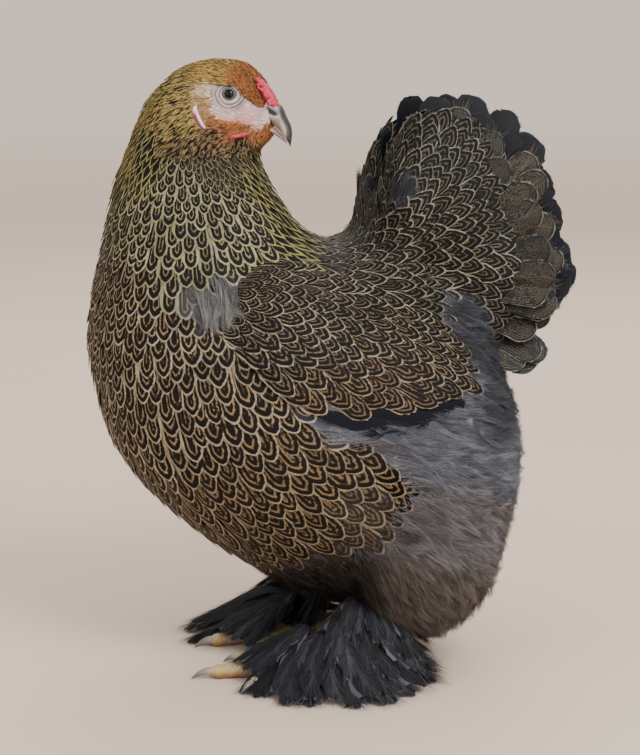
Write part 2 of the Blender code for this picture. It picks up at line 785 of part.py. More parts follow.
def make_comb(cutters):
    """The low pea comb: three short ridges of small bulbs from the forehead to the bill."""
    bulbs = []
    line = ((19, 21.5, 2.5), (23, 18.6, 2.9), (27, 14.8, 3.1), (31, 10.2, 3.0), (34.2, 5.6, 2.7),
            (36.4, 1.6, 2.2))
    for row, drop, size in ((0, 0, 1.0), (1, 1.6, 0.82), (-1, 1.6, 0.82)):
        for k, (forward, up, radius) in enumerate(line):
            if row and k in (0, 3, 5):
                continue
            width = 4.1 - 0.25 * k
            centre = head_point(forward - drop * 0.6, row * width, up - drop * 0.6)
            bulbs.append(ball(centre, (radius * size,) * 3, segments=6, rings=4, name="comb"))
    base = tube([head_point(f - 2.2, 0, u - 1.6) for f, u, _ in line], (2, 4.4, 4.8, 4.6, 4, 2.4),
                sides=6, name="comb")
    whole = boolean(base, bulbs, "UNION")
    return boolean(whole, [mesh.copy() for mesh in cutters], "DIFFERENCE")


def make_wattle(surface, side, cutters):
    """A small red fold hanging under the bill's corner."""
    spot, _ = on_head(surface, side, 11, -24)
    forwards, outwards, up = head_axes(side)
    core = ball(spot - up * 3.5 - outwards * 0.8, (7.5, 2.3, 5.0), (forwards, outwards, up),
                segments=8, rings=6, name="wattle")
    fold = ball(spot + up * 0.5 - forwards * 2, (6.0, 1.8, 2.2), (forwards, outwards, up),
                segments=8, rings=4, name="wattle")
    return boolean(boolean(core, [fold], "UNION"), [mesh.copy() for mesh in cutters], "DIFFERENCE")


def make_earlobe(surface, side, cutters):
    """A pale crescent of wrinkled skin under the ear."""
    beads = []
    crescent = ((-16.5, -2.0, 2.3), (-15.8, -6.5, 2.7), (-13.8, -10.8, 2.9), (-10.8, -14.6, 2.8),
                (-7.2, -17.6, 2.3))
    for forward, up, radius in crescent:
        spot, normal = on_head(surface, side, forward, up)
        beads.append(ball(spot, (radius,) * 3, segments=6, rings=4, name="earlobe"))
    whole = boolean(beads[0], beads[1:], "UNION")
    return boolean(whole, [mesh.copy() for mesh in cutters], "DIFFERENCE")


def mouth_line(side):
    """The groove that carries the gap between the bill's halves back to the corner of the mouth."""
    path = [head_point(f, side * w, u) for f, w, u in
            ((8, 17, -15.5), (13, 15.5, -16.8), (19, 12.5, -17.9), (26, 10, -18.2), (33, 8.2, -18.4))]
    return tube(path, (0.5, 0.9, 1.0, 1.0, 0.9), sides=6, name="groove")


def nostril(side):
    forwards, outwards, up = head_axes(side)
    tilt = (forwards * 0.9 - up * 0.44).normalized()
    return ball(head_point(36.5, side * 6.2, -7.5), (3.0, 2.4, 1.1),
                (tilt, outwards, outwards.cross(tilt) * side), segments=8, rings=6, name="nostril")


def main():
    for old in list(bpy.data.objects):
        bpy.data.objects.remove(old)
    hen = bpy.data.collections.new("brahma_hen")
    bpy.context.scene.collection.children.link(hen)

    torso = make_torso()
    head = make_head_core()
    form = surface_of(torso, make_neck_core(), head)
    torso_grown = grown(torso, GAP)
    neck = make_neck([torso_grown, grown(head, GAP)])
    for side, name in ((1, "left"), (-1, "right")):
        thigh = make_thigh(side, [torso_grown])
        foot = make_foot(side)
        claws = {toe: make_claw(side, toe, foot) for toe in TOES}
        near = [grown(mesh, GAP) for mesh in (thigh, foot, *claws.values())]
        boot = make_boot(side, [torso_grown, *near])
        add_object(f"thigh_{name}", thigh, "fluff")
        add_object(f"boot_{name}", boot, "boot")
        add_object(f"foot_{name}", foot, "toe_skin")
        for toe, claw in claws.items():
            add_object(f"claw_{toe}_{name}", claw, "horn")
        wing = make_wing(side, form, [torso_grown, grown(thigh, GAP), grown(neck, GAP)])
        add_object(f"wing_{name}", wing, "plumage")
    tail = make_tail([torso_grown])
    add_object("tail", tail, "tail_black")
    add_object("torso", torso, "plumage")
    add_object("neck", neck, "hackle")

    skin = surface_of(head)
    eyes = {side: make_eye(skin, side) for side in (1, -1)}
    folds = [fold for side in (1, -1) for fold in make_lids(skin, side)]
    head = boolean(head, folds, "UNION")
    hollows = [grown(eye, GAP) for eye in eyes.values()] + [mouth_line(1), mouth_line(-1)]
    head = boolean(head, hollows, "DIFFERENCE")
    head_grown = grown(head, GAP)
    upper = make_beak(BEAK_UPPER_ROWS, [head_grown, nostril(1), nostril(-1)], "beak_upper")
    lower = make_beak(BEAK_LOWER_ROWS, [head_grown, grown(upper, GAP)], "beak_lower")
    add_object("head", head, "face")
    add_object("beak_upper", upper, "horn")
    add_object("beak_lower", lower, "horn")
    add_object("comb", make_comb([head_grown, grown(upper, GAP)]), "comb_red")
    for side, name in ((1, "right"), (-1, "left")):
        add_object(f"eye_{name}", eyes[side], "eye")
        add_object(f"wattle_{name}", make_wattle(skin, side, [head_grown, grown(neck, GAP)]), "comb_red")
        add_object(f"earlobe_{name}", make_earlobe(skin, side, [head_grown, grown(neck, GAP)]), "earlobe")


main()
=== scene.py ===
"""Looks for a life-size partridge brahma hen that stands on both feet and looks back over her shoulder.

One skin carries thousands of separate feathers, each a thin closed vane or a set of soft barbs that
lies along the body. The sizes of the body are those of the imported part. Lengths are in millimetres in
the hen's own frame (she faces -Y, her left side is +X, the floor is z = 0) until placed() turns them
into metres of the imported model.
"""
import json
import math
import random

import bmesh
import bpy
import numpy as np
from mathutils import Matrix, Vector
from mathutils.bvhtree import BVHTree
from mathutils.kdtree import KDTree

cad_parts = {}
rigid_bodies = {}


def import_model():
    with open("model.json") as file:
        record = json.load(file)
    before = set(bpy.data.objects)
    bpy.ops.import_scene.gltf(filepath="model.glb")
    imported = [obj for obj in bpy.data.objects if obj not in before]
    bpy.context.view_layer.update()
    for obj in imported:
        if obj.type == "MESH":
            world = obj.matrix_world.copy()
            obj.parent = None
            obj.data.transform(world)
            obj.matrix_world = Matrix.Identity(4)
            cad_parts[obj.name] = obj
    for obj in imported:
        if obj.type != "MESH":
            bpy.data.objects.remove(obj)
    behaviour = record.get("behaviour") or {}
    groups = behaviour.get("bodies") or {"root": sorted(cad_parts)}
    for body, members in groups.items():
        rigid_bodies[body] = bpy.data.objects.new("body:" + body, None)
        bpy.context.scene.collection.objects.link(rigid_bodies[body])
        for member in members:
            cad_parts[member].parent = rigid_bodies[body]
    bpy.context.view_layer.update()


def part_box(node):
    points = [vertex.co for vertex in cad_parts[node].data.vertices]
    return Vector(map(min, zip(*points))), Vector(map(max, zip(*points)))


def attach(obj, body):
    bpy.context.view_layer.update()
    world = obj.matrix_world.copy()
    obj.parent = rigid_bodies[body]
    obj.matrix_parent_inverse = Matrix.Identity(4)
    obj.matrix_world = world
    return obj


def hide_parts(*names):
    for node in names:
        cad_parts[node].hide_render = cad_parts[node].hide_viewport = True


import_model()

# The hen's sizes, as in the part's source, in millimetres and degrees.
SHIFT = np.array((-2.7, -3.9, 0.0))
HEAD_TURN = 28.0
NECK_PIVOT = np.array((4.0, -76.0, 0.0))
HEAD_ALONG = -72.0
HEAD_UP = 409.0
EYE_RADIUS = 6.6
EYE_SPOT = (8.0, 6.2)
TOE_RADIUS = 6.2
TORSO_ROWS = (
    (141, 140, 141, 166, 24, 0),
    (134, 106, 134, 200, 54, 0),
    (121, 72, 121, 234, 78, 0),
    (100, 40, 98, 267, 96, 0),
    (68, 30, 67, 290, 107, 0),
    (28, 40, 34, 303, 110, 0),
    (-14, 53, 10, 309, 111, 0),
    (-55, 72, -6, 314, 110, 0),
    (-92, 98, -14, 318, 106, 0),
    (-123, 126, -20, 323, 100, 0),
    (-148, 157, -23, 327, 92, 0),
    (-163, 195, -26, 331, 84, 0),
    (-170, 236, -29, 336, 76, 0),
    (-167, 272, -32, 341, 69, 2),
)
NECK_ROWS = (
    (-160, 305, -36, 347, 62, 6),
    (-154, 334, -40, 354, 56, 11),
    (-147, 360, -43, 361, 50, 16),
    (-137, 385, -46, 367, 43, 21),
    (-127, 410, -47, 372, 35, 25),
)
HEAD_ROWS = (
    (-107, 430, -47, 374, 26.5, 28),
    (-81, 438.5, -45, 377, 19.5, 28),
    (-62, 435, -43, 379, 16.5, 28),
    (-51, 427, -40, 382, 13.5, 28),
    (-44, 418, -37.5, 385, 11, 28),
    (-39, 410, -36, 389, 8, 28),
)
THIGH_CENTRE = (66, 56, 106)
THIGH_RADII = (50, 58, 78)
HOCK = (50, 32, 66)
ANKLE = (44, -24, 13)
STEP_BACK = 22.0
TAIL_ROOT = np.array((0.0, 70.0, 282.0))
TAIL_FAN = (
    (150, 56, 56), (128, 66, 64), (108, 96, 64), (92, 128, 58), (74, 137, 54), (56, 131, 56),
    (38, 122, 62), (20, 117, 70), (2, 118, 74), (-16, 110, 72), (-34, 104, 64), (-50, 84, 52),
)
TAIL_SECTION = ((0, 0.86), (0.3, 1.0), (0.62, 0.93), (0.88, 0.74), (1.0, 0.48), (0.86, 0.22), (0.4, 0.06))
WING_ORIGIN = (-92, 286)
WING_SLOPE = -27.0
TOES = {
    "middle": (-6, 71, 15),
    "inner": (-38, 54, 13),
    "outer": (30, 58, 12),
    "hind": (198, 32, 11),
}
SIDES = ((1, "left"), (-1, "right"))


# Small vector and mesh helpers

def unit(vectors):
    """The vectors along the last axis, each one long."""
    length = np.linalg.norm(vectors, axis=-1, keepdims=True)
    return vectors / np.maximum(length, 1e-9)


def placed(points):
    """Points of the hen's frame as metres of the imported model."""
    return (np.asarray(points, float) + SHIFT) / 1000


def ease(x, low, high):
    """A smooth step from 0 at low to 1 at high."""
    t = np.clip((np.asarray(x, float) - low) / (high - low), 0, 1)
    return t * t * (3 - 2 * t)


def turned(along, up, turn):
    """A point of the sagittal plane after the neck has turned that plane by turn degrees."""
    share = min(1.0, turn / HEAD_TURN)
    angle = math.radians(turn)
    arm = along - NECK_PIVOT[1]
    x = NECK_PIVOT[0] * share + math.sin(angle) * arm
    return np.array((x, NECK_PIVOT[1] + math.cos(angle) * arm, up))


HEAD_FORWARD = turned(1, 0, HEAD_TURN) - turned(0, 0, HEAD_TURN)
HEAD_SIDE = np.array((math.cos(math.radians(HEAD_TURN)), -math.sin(math.radians(HEAD_TURN)), 0.0))


def head_point(forward, side, up):
    """A point given from the head's centre: towards the bill, towards the cheek near the camera, and up."""
    return turned(HEAD_ALONG + forward, HEAD_UP + up, HEAD_TURN) + HEAD_SIDE * side


def rows_between(rows, steps):
    """The rows with steps - 1 more between each pair, on a smooth curve through them."""
    rows = np.asarray(rows, float)
    padded = np.vstack([2 * rows[0] - rows[1], rows, 2 * rows[-1] - rows[-2]])
    made = []
    for i in range(len(rows) - 1):
        p, a, b, s = padded[i:i + 4]
        for t in np.arange(steps) / steps:
            made.append(0.5 * (2 * a + (b - p) * t + (2 * p - 5 * a + 4 * b - s) * t * t
                               + (3 * a - p - 3 * b + s) * t ** 3))
    made.append(rows[-1])
    return made


def section(row, count):
    """The ring of one body row: an oval a little fuller than an ellipse."""
    outer_along, outer_up, inner_along, inner_up, half_width, turn = row
    outer = turned(outer_along, outer_up, turn)
    inner = turned(inner_along, inner_up, turn)
    angle = math.radians(turn)
    across = np.array((math.cos(angle), -math.sin(angle), 0)) * half_width
    around = np.linspace(0, 2 * math.pi, count, endpoint=False)
    c, s = np.cos(around), np.sin(around)
    c, s = np.copysign(np.abs(c) ** 0.92, c), np.copysign(np.abs(s) ** 0.92, s)
    return (outer + inner) / 2 + np.outer(c, (outer - inner) / 2) + np.outer(s, across)


def loft(rings):
    """Points and faces of a closed form through rings of equal count, with a fan over each end."""
    count = len(rings[0])
    points = np.vstack([*rings, np.mean(rings[0], axis=0), np.mean(rings[-1], axis=0)])
    faces = []
    for row in range(len(rings) - 1):
        for i in range(count):
            j = (i + 1) % count
            low, high = row * count, (row + 1) * count
            faces.append((low + i, low + j, high + j, high + i))
    first = (len(rings) - 1) * count
    for i in range(count):
        j = (i + 1) % count
        faces.append((i, j, len(points) - 2))
        faces.append((first + i, first + j, len(points) - 1))
    return points, faces


def ball(centre, radii, axes=None, segments=32, rings=20):
    """Points and faces of an ellipsoid, turned by three axes."""
    axes = np.eye(3) if axes is None else np.asarray(axes)
    polar = np.linspace(0, math.pi, rings + 1)[1:-1]
    around = np.linspace(0, 2 * math.pi, segments, endpoint=False)
    made = []
    for angle in polar:
        local = np.stack([np.cos(around) * math.sin(angle), np.sin(around) * math.sin(angle),
                          np.full(segments, math.cos(angle))], axis=1)
        made.append(np.asarray(centre) + (local * radii) @ axes)
    points, faces = loft(made)
    top = np.array((0, 0, radii[2])) @ axes
    points[-2], points[-1] = np.asarray(centre) + top, np.asarray(centre) - top
    return points, faces


def tube(path, radii, sides=24):
    """Points and faces of a round tube along a path, tapered by a radius at each point."""
    path = np.asarray(path, float)
    ahead = unit(np.gradient(path, axis=0))
    side = unit(np.cross(ahead, np.array((0, 0, 1.0)) + 1e-4))
    up = np.cross(side, ahead)
    around = np.linspace(0, 2 * math.pi, sides, endpoint=False)
    rings = [point + (np.outer(np.cos(around), s) + np.outer(np.sin(around), u)) * radius
             for point, s, u, radius in zip(path, side, up, radii)]
    return loft(rings)


def curve_through(points, steps):
    """A smooth curve through a few points, with steps to each stretch."""
    return np.array(rows_between(points, steps))


def shell_of(*forms):
    """A bmesh of closed forms given as (points, faces), with their faces turned out."""
    shell = bmesh.new()
    for points, faces in forms:
        verts = [shell.verts.new(point) for point in points]
        for face in faces:
            shell.faces.new([verts[i] for i in face])
    bmesh.ops.recalc_face_normals(shell, faces=shell.faces)
    return shell


def mesh_of(points, faces, name="form"):
    """A closed mesh in millimetres, with its faces split into triangles and turned out."""
    shell = shell_of((points, faces))
    bmesh.ops.triangulate(shell, faces=shell.faces)
    if shell.calc_volume(signed=True) < 0:
        bmesh.ops.reverse_faces(shell, faces=shell.faces)
    mesh = bpy.data.meshes.new(name)
    shell.to_mesh(mesh)
    shell.free()
    return mesh


def boolean(mesh, others, operation="UNION"):
    """The mesh joined with, or cut by, all the others in one Boolean."""
    helpers = bpy.data.collections.new("helpers")
    bpy.context.scene.collection.children.link(helpers)
    target = bpy.data.objects.new("target", mesh)
    bpy.context.scene.collection.objects.link(target)
    for other in others:
        helpers.objects.link(bpy.data.objects.new("helper", other))
    modifier = target.modifiers.new("join", "BOOLEAN")
    modifier.operation = operation
    modifier.operand_type = "COLLECTION"
    modifier.collection = helpers
    modifier.solver = "MANIFOLD"
    graph = bpy.context.evaluated_depsgraph_get()
    made = bpy.data.meshes.new_from_object(target.evaluated_get(graph))
    for helper in [*helpers.objects, target]:
        bpy.data.objects.remove(helper)
    bpy.data.collections.remove(helpers)
    return made


def points_of(mesh):
    co = np.empty(len(mesh.vertices) * 3)
    mesh.vertices.foreach_get("co", co)
    return co.reshape(-1, 3)


def normals_of(mesh):
    out = np.empty(len(mesh.vertices) * 3)
    mesh.vertex_normals.foreach_get("vector", out)
    return out.reshape(-1, 3)


def set_points(mesh, points):
    mesh.vertices.foreach_set("co", np.asarray(points, np.float32).ravel())
    mesh.update()


def tree_of(mesh):
    """A search tree over a mesh in millimetres."""
    return BVHTree.FromPolygons([v.co for v in mesh.vertices], [p.vertices for p in mesh.polygons])


def add_piece(name, mesh, material, replaces=(), smooth=True):
    """Links a mesh in millimetres as a piece of the model, riding on its one body."""
    set_points(mesh, placed(points_of(mesh)))
    if smooth and "OFBake" not in mesh.uv_layers:
        mesh.shade_smooth()
    mesh.materials.clear()
    mesh.materials.append(material)
    made = bpy.data.objects.new(name, mesh)
    bpy.context.scene.collection.objects.link(made)
    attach(made, "root")
    if replaces:
        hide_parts(*replaces)
    return made


def point_attribute(mesh, name, values):
    """Stores one float at each point of a mesh."""
    attribute = mesh.attributes.new(name, "FLOAT", "POINT")
    attribute.data.foreach_set("value", np.asarray(values, np.float32))


# The body's forms

def body_rings(count, torso_steps, neck_steps, head_steps):
    """The rings of torso, neck and head as one form."""
    torso = rows_between(TORSO_ROWS + NECK_ROWS[:1], torso_steps)[:-1]
    neck = rows_between(TORSO_ROWS[-1:] + NECK_ROWS + HEAD_ROWS[:1], neck_steps)[neck_steps:-1]
    head = rows_between(NECK_ROWS[-1:] + HEAD_ROWS, head_steps)[head_steps:]
    return [section(row, count) for row in torso + neck + head]


def tail_form(share, steps=3, thickness=1.0):
    """The cushion of the tail, out to a share of the feathers' reach."""
    rings = []
    for heading, reach, width in rows_between(TAIL_FAN, steps):
        angle = math.radians(heading)
        wide = width * 0.86 * thickness
        half = np.array([(wide * across, reach * out * share) for across, out in rows_between(TAIL_SECTION, 3)])
        whole = np.vstack([half, half[-1:0:-1] * (-1, 1)])
        ring = np.zeros((len(whole), 3))
        ring[:, 0] = whole[:, 0]
        ring[:, 1] = whole[:, 1] * math.cos(angle)
        ring[:, 2] = whole[:, 1] * math.sin(angle)
        rings.append(ring + TAIL_ROOT)
    return loft(rings)


def mirrored(point, side):
    """A point of the left leg, or of the right one, which stands further back below the hock."""
    x, y, z = point
    if side > 0:
        return np.array((x, y, z), float)
    return np.array((-x, y + STEP_BACK * (1 - min(z, 66) / 90), z))


def thigh_form(side, share=1.0):
    centre = (side * THIGH_CENTRE[0], THIGH_CENTRE[1], THIGH_CENTRE[2])
    return ball(centre, [radius * share for radius in THIGH_RADII])


def make_envelope():
    """The outer form that the tips of the body's feathers reach."""
    body = mesh_of(*loft(body_rings(48, 3, 3, 3)))
    return boolean(body, [mesh_of(*thigh_form(1)), mesh_of(*thigh_form(-1)), mesh_of(*tail_form(0.92))])


# The crease between back and tail in side view, which long saddle feathers bridge.
CREASE = ((16, 322), (34, 306), (56, 296), (78, 284), (96, 262), (108, 238), (114, 214))


def softened(mesh, rounds=90):
    """The envelope with the crease at the tail's root filled in."""
    target = bpy.data.objects.new("target", mesh)
    bpy.context.scene.collection.objects.link(target)
    modifier = target.modifiers.new("even", "REMESH")
    modifier.mode = "VOXEL"
    modifier.voxel_size = 3.5
    graph = bpy.context.evaluated_depsgraph_get()
    made = bpy.data.meshes.new_from_object(target.evaluated_get(graph))
    bpy.data.objects.remove(target)
    points = points_of(made)
    line = np.array(rows_between(CREASE, 4))
    gap = np.linalg.norm(points[:, None, 1:] - line[None], axis=2).min(axis=1)
    weight = 0.9 * np.exp(-(gap / 27) ** 2)[:, None]
    ends = np.empty(len(made.edges) * 2, np.int64)
    made.edges.foreach_get("vertices", ends)
    a, b = ends.reshape(-1, 2).T
    degree = np.bincount(ends, minlength=len(points))[:, None]
    for _ in range(rounds):
        total = np.stack([np.bincount(a, points[b, k], len(points)) + np.bincount(b, points[a, k], len(points))
                          for k in range(3)], axis=1)
        points += weight * (total / degree - points)
    set_points(made, points)
    return made


def neck_turn(up):
    """How far the neck has turned at a height, in degrees."""
    return HEAD_TURN * ease(up, 255, 425)


def sagittal(points):
    """(along, up) of points, with the turn of the neck and head taken back."""
    points = np.atleast_2d(points)
    front = ease(-points[:, 1], -15, 10)
    angle = np.radians(neck_turn(points[:, 2])) * front
    arm = points - NECK_PIVOT
    along = NECK_PIVOT[1] + np.sin(angle) * arm[:, 0] + np.cos(angle) * arm[:, 1]
    return np.stack([along, points[:, 2]], axis=1)


def flow_vectors(points, degrees):
    """Directions of the lie: 0 is straight back, 90 straight down, 180 forwards, with the neck's turn."""
    front = ease(-points[:, 1], -15, 10)
    angle = np.radians(neck_turn(points[:, 2])) * front
    rad = np.radians(degrees)
    level = np.cos(rad)
    return np.stack([level * np.sin(angle), level * np.cos(angle), -np.sin(rad)], axis=1)


# Plumage styles. Colours are sRGB of 0 to 255. The pencilling follows the feather's rim: an edge of the
# light colour, then dark and light lines of one pitch, as shares of the half width.

def linear(colour):
    c = np.asarray(colour, float) / 255
    return np.where(c <= 0.04045, c / 12.92, ((c + 0.055) / 1.055) ** 2.4)


# light, dark, edge, pitch, light share, strength of inner lines, tip length, closing towards the root
STYLES = {
    "crown": ((140, 92, 56), (82, 48, 28), 0.55, 0.5, 0.5, 0.12, 2.4, 0.0),
    "gold": ((150, 122, 66), (74, 60, 36), 0.55, 0.5, 0.5, 0.22, 2.6, 0.0),
    "cheek": ((150, 96, 60), (92, 52, 34), 0.55, 0.5, 0.5, 0.15, 2.4, 0.0),
    "ear": ((198, 180, 152), (160, 132, 102), 0.55, 0.5, 0.5, 0.12, 2.4, 0.0),
    "tan": ((164, 130, 92), (118, 86, 54), 0.55, 0.5, 0.5, 0.15, 2.4, 0.0),
    "nape": ((138, 120, 70), (22, 21, 18), 0.30, 0.5, 0.5, 0.4, 3.0, 0.4),
    "throat": ((114, 96, 66), (20, 17, 16), 0.30, 0.5, 0.5, 0.55, 3.0, 0.4),
    "hackle": ((128, 120, 74), (12, 13, 16), 0.22, 0.6, 0.3, 0.0, 2.6, 0.2),
    "dusky": ((104, 98, 74), (18, 17, 17), 0.22, 0.5, 0.36, 0.5, 1.8, 0.6),
    "laced": ((134, 130, 102), (13, 13, 15), 0.17, 0.60, 0.30, 0.9, 1.4, 1.0),
    "breast": ((142, 130, 108), (14, 11, 12), 0.12, 0.54, 0.34, 0.8, 1.45, 0.5),
    "low_breast": ((132, 118, 96), (16, 12, 12), 0.10, 0.46, 0.38, 0.75, 1.5, 0.25),
    "belly": ((122, 110, 94), (34, 30, 28), 0.12, 0.40, 0.42, 0.6, 1.4, 0.3),
    "wing": ((132, 122, 102), (11, 11, 14), 0.075, 0.40, 0.28, 0.65, 1.6, 0.15),
    "wing_low": ((128, 112, 92), (15, 12, 12), 0.075, 0.35, 0.36, 0.7, 1.5, 0.15),
    "back": ((124, 120, 102), (11, 12, 16), 0.08, 0.42, 0.26, 0.6, 1.8, 0.2),
    "covert": ((110, 108, 94), (11, 12, 16), 0.07, 0.38, 0.30, 0.6, 1.7, 0.2),
    "quill": ((104, 100, 88), (9, 12, 18), 0.035, 0.17, 0.30, 0.85, 1.0, 0.0),
    # Near-black feathers: their bluish ground is a painted blue sheen, and their lighter rim a painted highlight.
    "black_painted_sheen": ((20, 27, 42), (9, 13, 22), 0.08, 0.5, 0.4, 0.0, 0.8, 0.0),
    "down": ((156, 160, 170), (80, 85, 98), 0.3, 0.4, 0.4, 0.3, 1.2, 0.0),
    "haze": ((160, 162, 162), (96, 98, 101), 0.3, 0.4, 0.4, 0.3, 1.2, 0.0),
    "slate": ((112, 116, 124), (50, 54, 63), 0.3, 0.4, 0.4, 0.3, 1.2, 0.0),
    "thigh": ((160, 154, 148), (88, 85, 88), 0.3, 0.3, 0.45, 0.5, 1.2, 0.0),
    "fluff": ((146, 136, 124), (76, 71, 68), 0.3, 0.3, 0.45, 0.7, 1.2, 0.0),
    "boot": ((74, 75, 80), (26, 29, 36), 0.015, 0.3, 0.22, 0.35, 1.4, 0.0),
}


def style_row(name):
    light, dark, *lines = STYLES[name]
    return np.array([*linear(light), *linear(dark), *lines])


# Guides over the body: (along, up), the lie in degrees below straight back, half width, length, the
# space between tips, softness from 0 (one clean vane) to 1 (loose barbs), and the style.
BODY_GUIDES = [
    (-128, 402, 122, 2.0, 19, 3.5, 0.1, "nape"),
    (-150, 372, 116, 2.8, 30, 4.9, 0.1, "nape"),
    (-166, 340, 106, 3.6, 38, 6.2, 0.1, "hackle"),
    (-104, 396, 108, 2.0, 18, 3.5, 0.1, "nape"),
    (-126, 368, 100, 3.0, 28, 5.0, 0.1, "hackle"),
    (-100, 345, 88, 4.2, 27, 7.2, 0.1, "laced"),
    (-82, 372, 84, 2.2, 16, 3.8, 0.1, "dusky"),
    (-62, 366, 70, 2.2, 16, 3.8, 0.1, "dusky"),
    (-46, 360, 62, 3.4, 28, 5.6, 0.1, "hackle"),
    (-34, 338, 56, 4.4, 34, 7.2, 0.1, "hackle"),
    (-62, 330, 74, 5.0, 30, 8.6, 0.1, "laced"),
    (-16, 318, 34, 5.2, 36, 8.2, 0.1, "hackle"),
    (-148, 318, 94, 4.8, 30, 8.2, 0.1, "laced"),
    (-112, 312, 88, 5.4, 30, 9.4, 0.1, "laced"),
    (-126, 284, 86, 6.2, 32, 11, 0.1, "laced"),
    (-64, 290, 78, 6.2, 32, 11, 0.15, "laced"),
    (-98, 268, 80, 6.0, 28, 8.4, 0.8, "haze"),
    (-100, 286, 82, 6.0, 30, 9.6, 0.3, "laced"),
    (-160, 285, 92, 5.6, 32, 9.6, 0.1, "breast"),
    (-166, 250, 90, 6.2, 32, 10.6, 0.1, "breast"),
    (-130, 246, 84, 6.6, 33, 11.4, 0.1, "breast"),
    (-96, 248, 80, 6.8, 33, 11.6, 0.1, "breast"),
    (-112, 222, 78, 7.2, 34, 12.2, 0.1, "breast"),
    (-152, 200, 80, 6.8, 34, 11.6, 0.1, "breast"),
    (-115, 165, 68, 7.6, 36, 12.8, 0.1, "breast"),
    (-72, 206, 62, 8.0, 38, 13.2, 0.1, "breast"),
    (-80, 140, 54, 8.0, 38, 13.0, 0.1, "low_breast"),
    (-40, 108, 40, 8.0, 38, 12.6, 0.15, "low_breast"),
    (-30, 160, 44, 8.8, 40, 13.6, 0.1, "low_breast"),
    (2, 164, 30, 9.2, 42, 13.6, 0.15, "low_breast"),
    (22, 146, 30, 9.2, 42, 13.4, 0.15, "low_breast"),
    (2, 198, 10, 8.0, 38, 11.5, 0.85, "down"),
    (28, 192, 8, 8.0, 38, 11.5, 0.9, "down"),
    (12, 126, 36, 8.4, 38, 12.8, 0.35, "belly"),
    (-12, 66, 32, 7.6, 36, 12, 0.5, "belly"),
    (48, 168, 12, 8.0, 38, 11.5, 0.9, "down"),
    (56, 108, 28, 8.0, 38, 11.5, 0.85, "thigh"),
    (46, 66, 48, 8.0, 34, 11, 0.75, "fluff"),
    (72, 48, 58, 8.0, 36, 11, 0.6, "fluff"),
    (110, 96, 30, 8.5, 38, 12, 0.9, "thigh"),
    (128, 150, 8, 8.5, 38, 12, 1.0, "down"),
    (112, 200, -2, 8.5, 38, 12, 0.95, "slate"),
    (70, 205, 4, 8.5, 38, 12, 0.95, "down"),
    (10, 308, 6, 5.8, 36, 9.6, 0.1, "back"),
    (44, 300, 0, 6.6, 38, 10.6, 0.1, "back"),
    (20, 270, 8, 6.8, 38, 11.2, 0.1, "back"),
    (66, 262, -4, 7.0, 38, 11.2, 0.1, "back"),
    (60, 236, 4, 7.0, 38, 11.2, 0.2, "back"),
]


# Over the tail the coverts sweep back from the saddle, and only the outer ones fan out.
TAIL_GUIDES = [
    (6, 327, -60, 6.6, 34, 10.5, 0.1, "back"),
    (21, 355, -56, 6.6, 34, 10.5, 0.1, "back"),
    (36, 344, -50, 6.6, 34, 10.0, 0.1, "covert"),
    (52, 352, -52, 6.0, 32, 8.6, 0.8, "slate"),
    (44, 366, -58, 6.6, 34, 9.6, 0.1, "covert"),
    (62, 356, -46, 6.6, 34, 9.6, 0.1, "covert"),
    (46, 382, -66, 7.0, 36, 10.5, 0.1, "covert"),
    (62, 371, -56, 7.0, 36, 10.5, 0.1, "covert"),
    (73, 400, -72, 7.4, 38, 11.0, 0.1, "covert"),
    (58, 342, -34, 6.8, 36, 10.2, 0.1, "back"),
    (87, 350, -30, 7.2, 38, 10.8, 0.1, "covert"),
    (109, 362, -24, 7.2, 38, 10.8, 0.1, "covert"),
    (131, 366, -34, 7.4, 38, 11.0, 0.1, "covert"),
    (112, 396, -54, 7.4, 38, 11.0, 0.1, "covert"),
    (50, 320, -16, 6.4, 36, 9.8, 0.1, "back"),
    (94, 319, -6, 7.0, 38, 10.4, 0.1, "back"),
    (138, 322, 0, 7.4, 38, 10.8, 0.1, "covert"),
    (156, 300, 8, 7.4, 38, 10.8, 0.1, "covert"),
    (80, 292, 8, 6.8, 38, 10.2, 0.1, "back"),
    (109, 280, 14, 7.0, 38, 10.4, 0.1, "back"),
    (140, 272, 22, 7.4, 38, 10.8, 0.15, "covert"),
    (138, 243, 34, 7.4, 36, 10.8, 0.3, "covert"),
    (153, 226, 50, 7.4, 36, 10.8, 0.3, "covert"),
    (103, 250, 24, 6.6, 36, 9.2, 0.85, "slate"),
    (120, 264, 22, 7.0, 36, 9.8, 0.1, "covert"),
    (122, 252, 28, 7.0, 36, 9.8, 0.2, "covert"),
    (122, 234, 34, 7.0, 36, 9.8, 0.3, "covert"),
    (114, 224, 30, 6.6, 36, 9.2, 0.8, "slate"),
]


class Guides:
    """Blends a short list of guides by their distance."""

    def __init__(self, rows, flatten=sagittal):
        self.flatten = flatten
        self.places = np.array([row[:2] for row in rows], float)
        numbers = np.array([row[2:7] for row in rows], float)
        looks = np.array([style_row(row[7]) for row in rows])
        self.flow = np.radians(numbers[:, 0])
        self.values = np.hstack([numbers[:, 1:], looks])

    def at(self, points):
        """The lie in degrees, and the blended values, at points of the hen's frame."""
        if len(points) > 20000:
            parts = [self.at(points[k:k + 20000]) for k in range(0, len(points), 20000)]
            return tuple(np.concatenate(part) for part in zip(*parts))
        flat = self.flatten(points)
        gap = ((flat[:, None] - self.places[None]) ** 2).sum(axis=2)
        weight = 1 / (gap + 60.0) ** 2
        weight /= weight.sum(axis=1, keepdims=True)
        flow = np.degrees(np.arctan2(weight @ np.sin(self.flow), weight @ np.cos(self.flow)))
        sharp = weight ** 2.2
        sharp /= sharp.sum(axis=1, keepdims=True)
        return flow, sharp @ self.values


# Feathers: where they root, how they lie, and their meshes

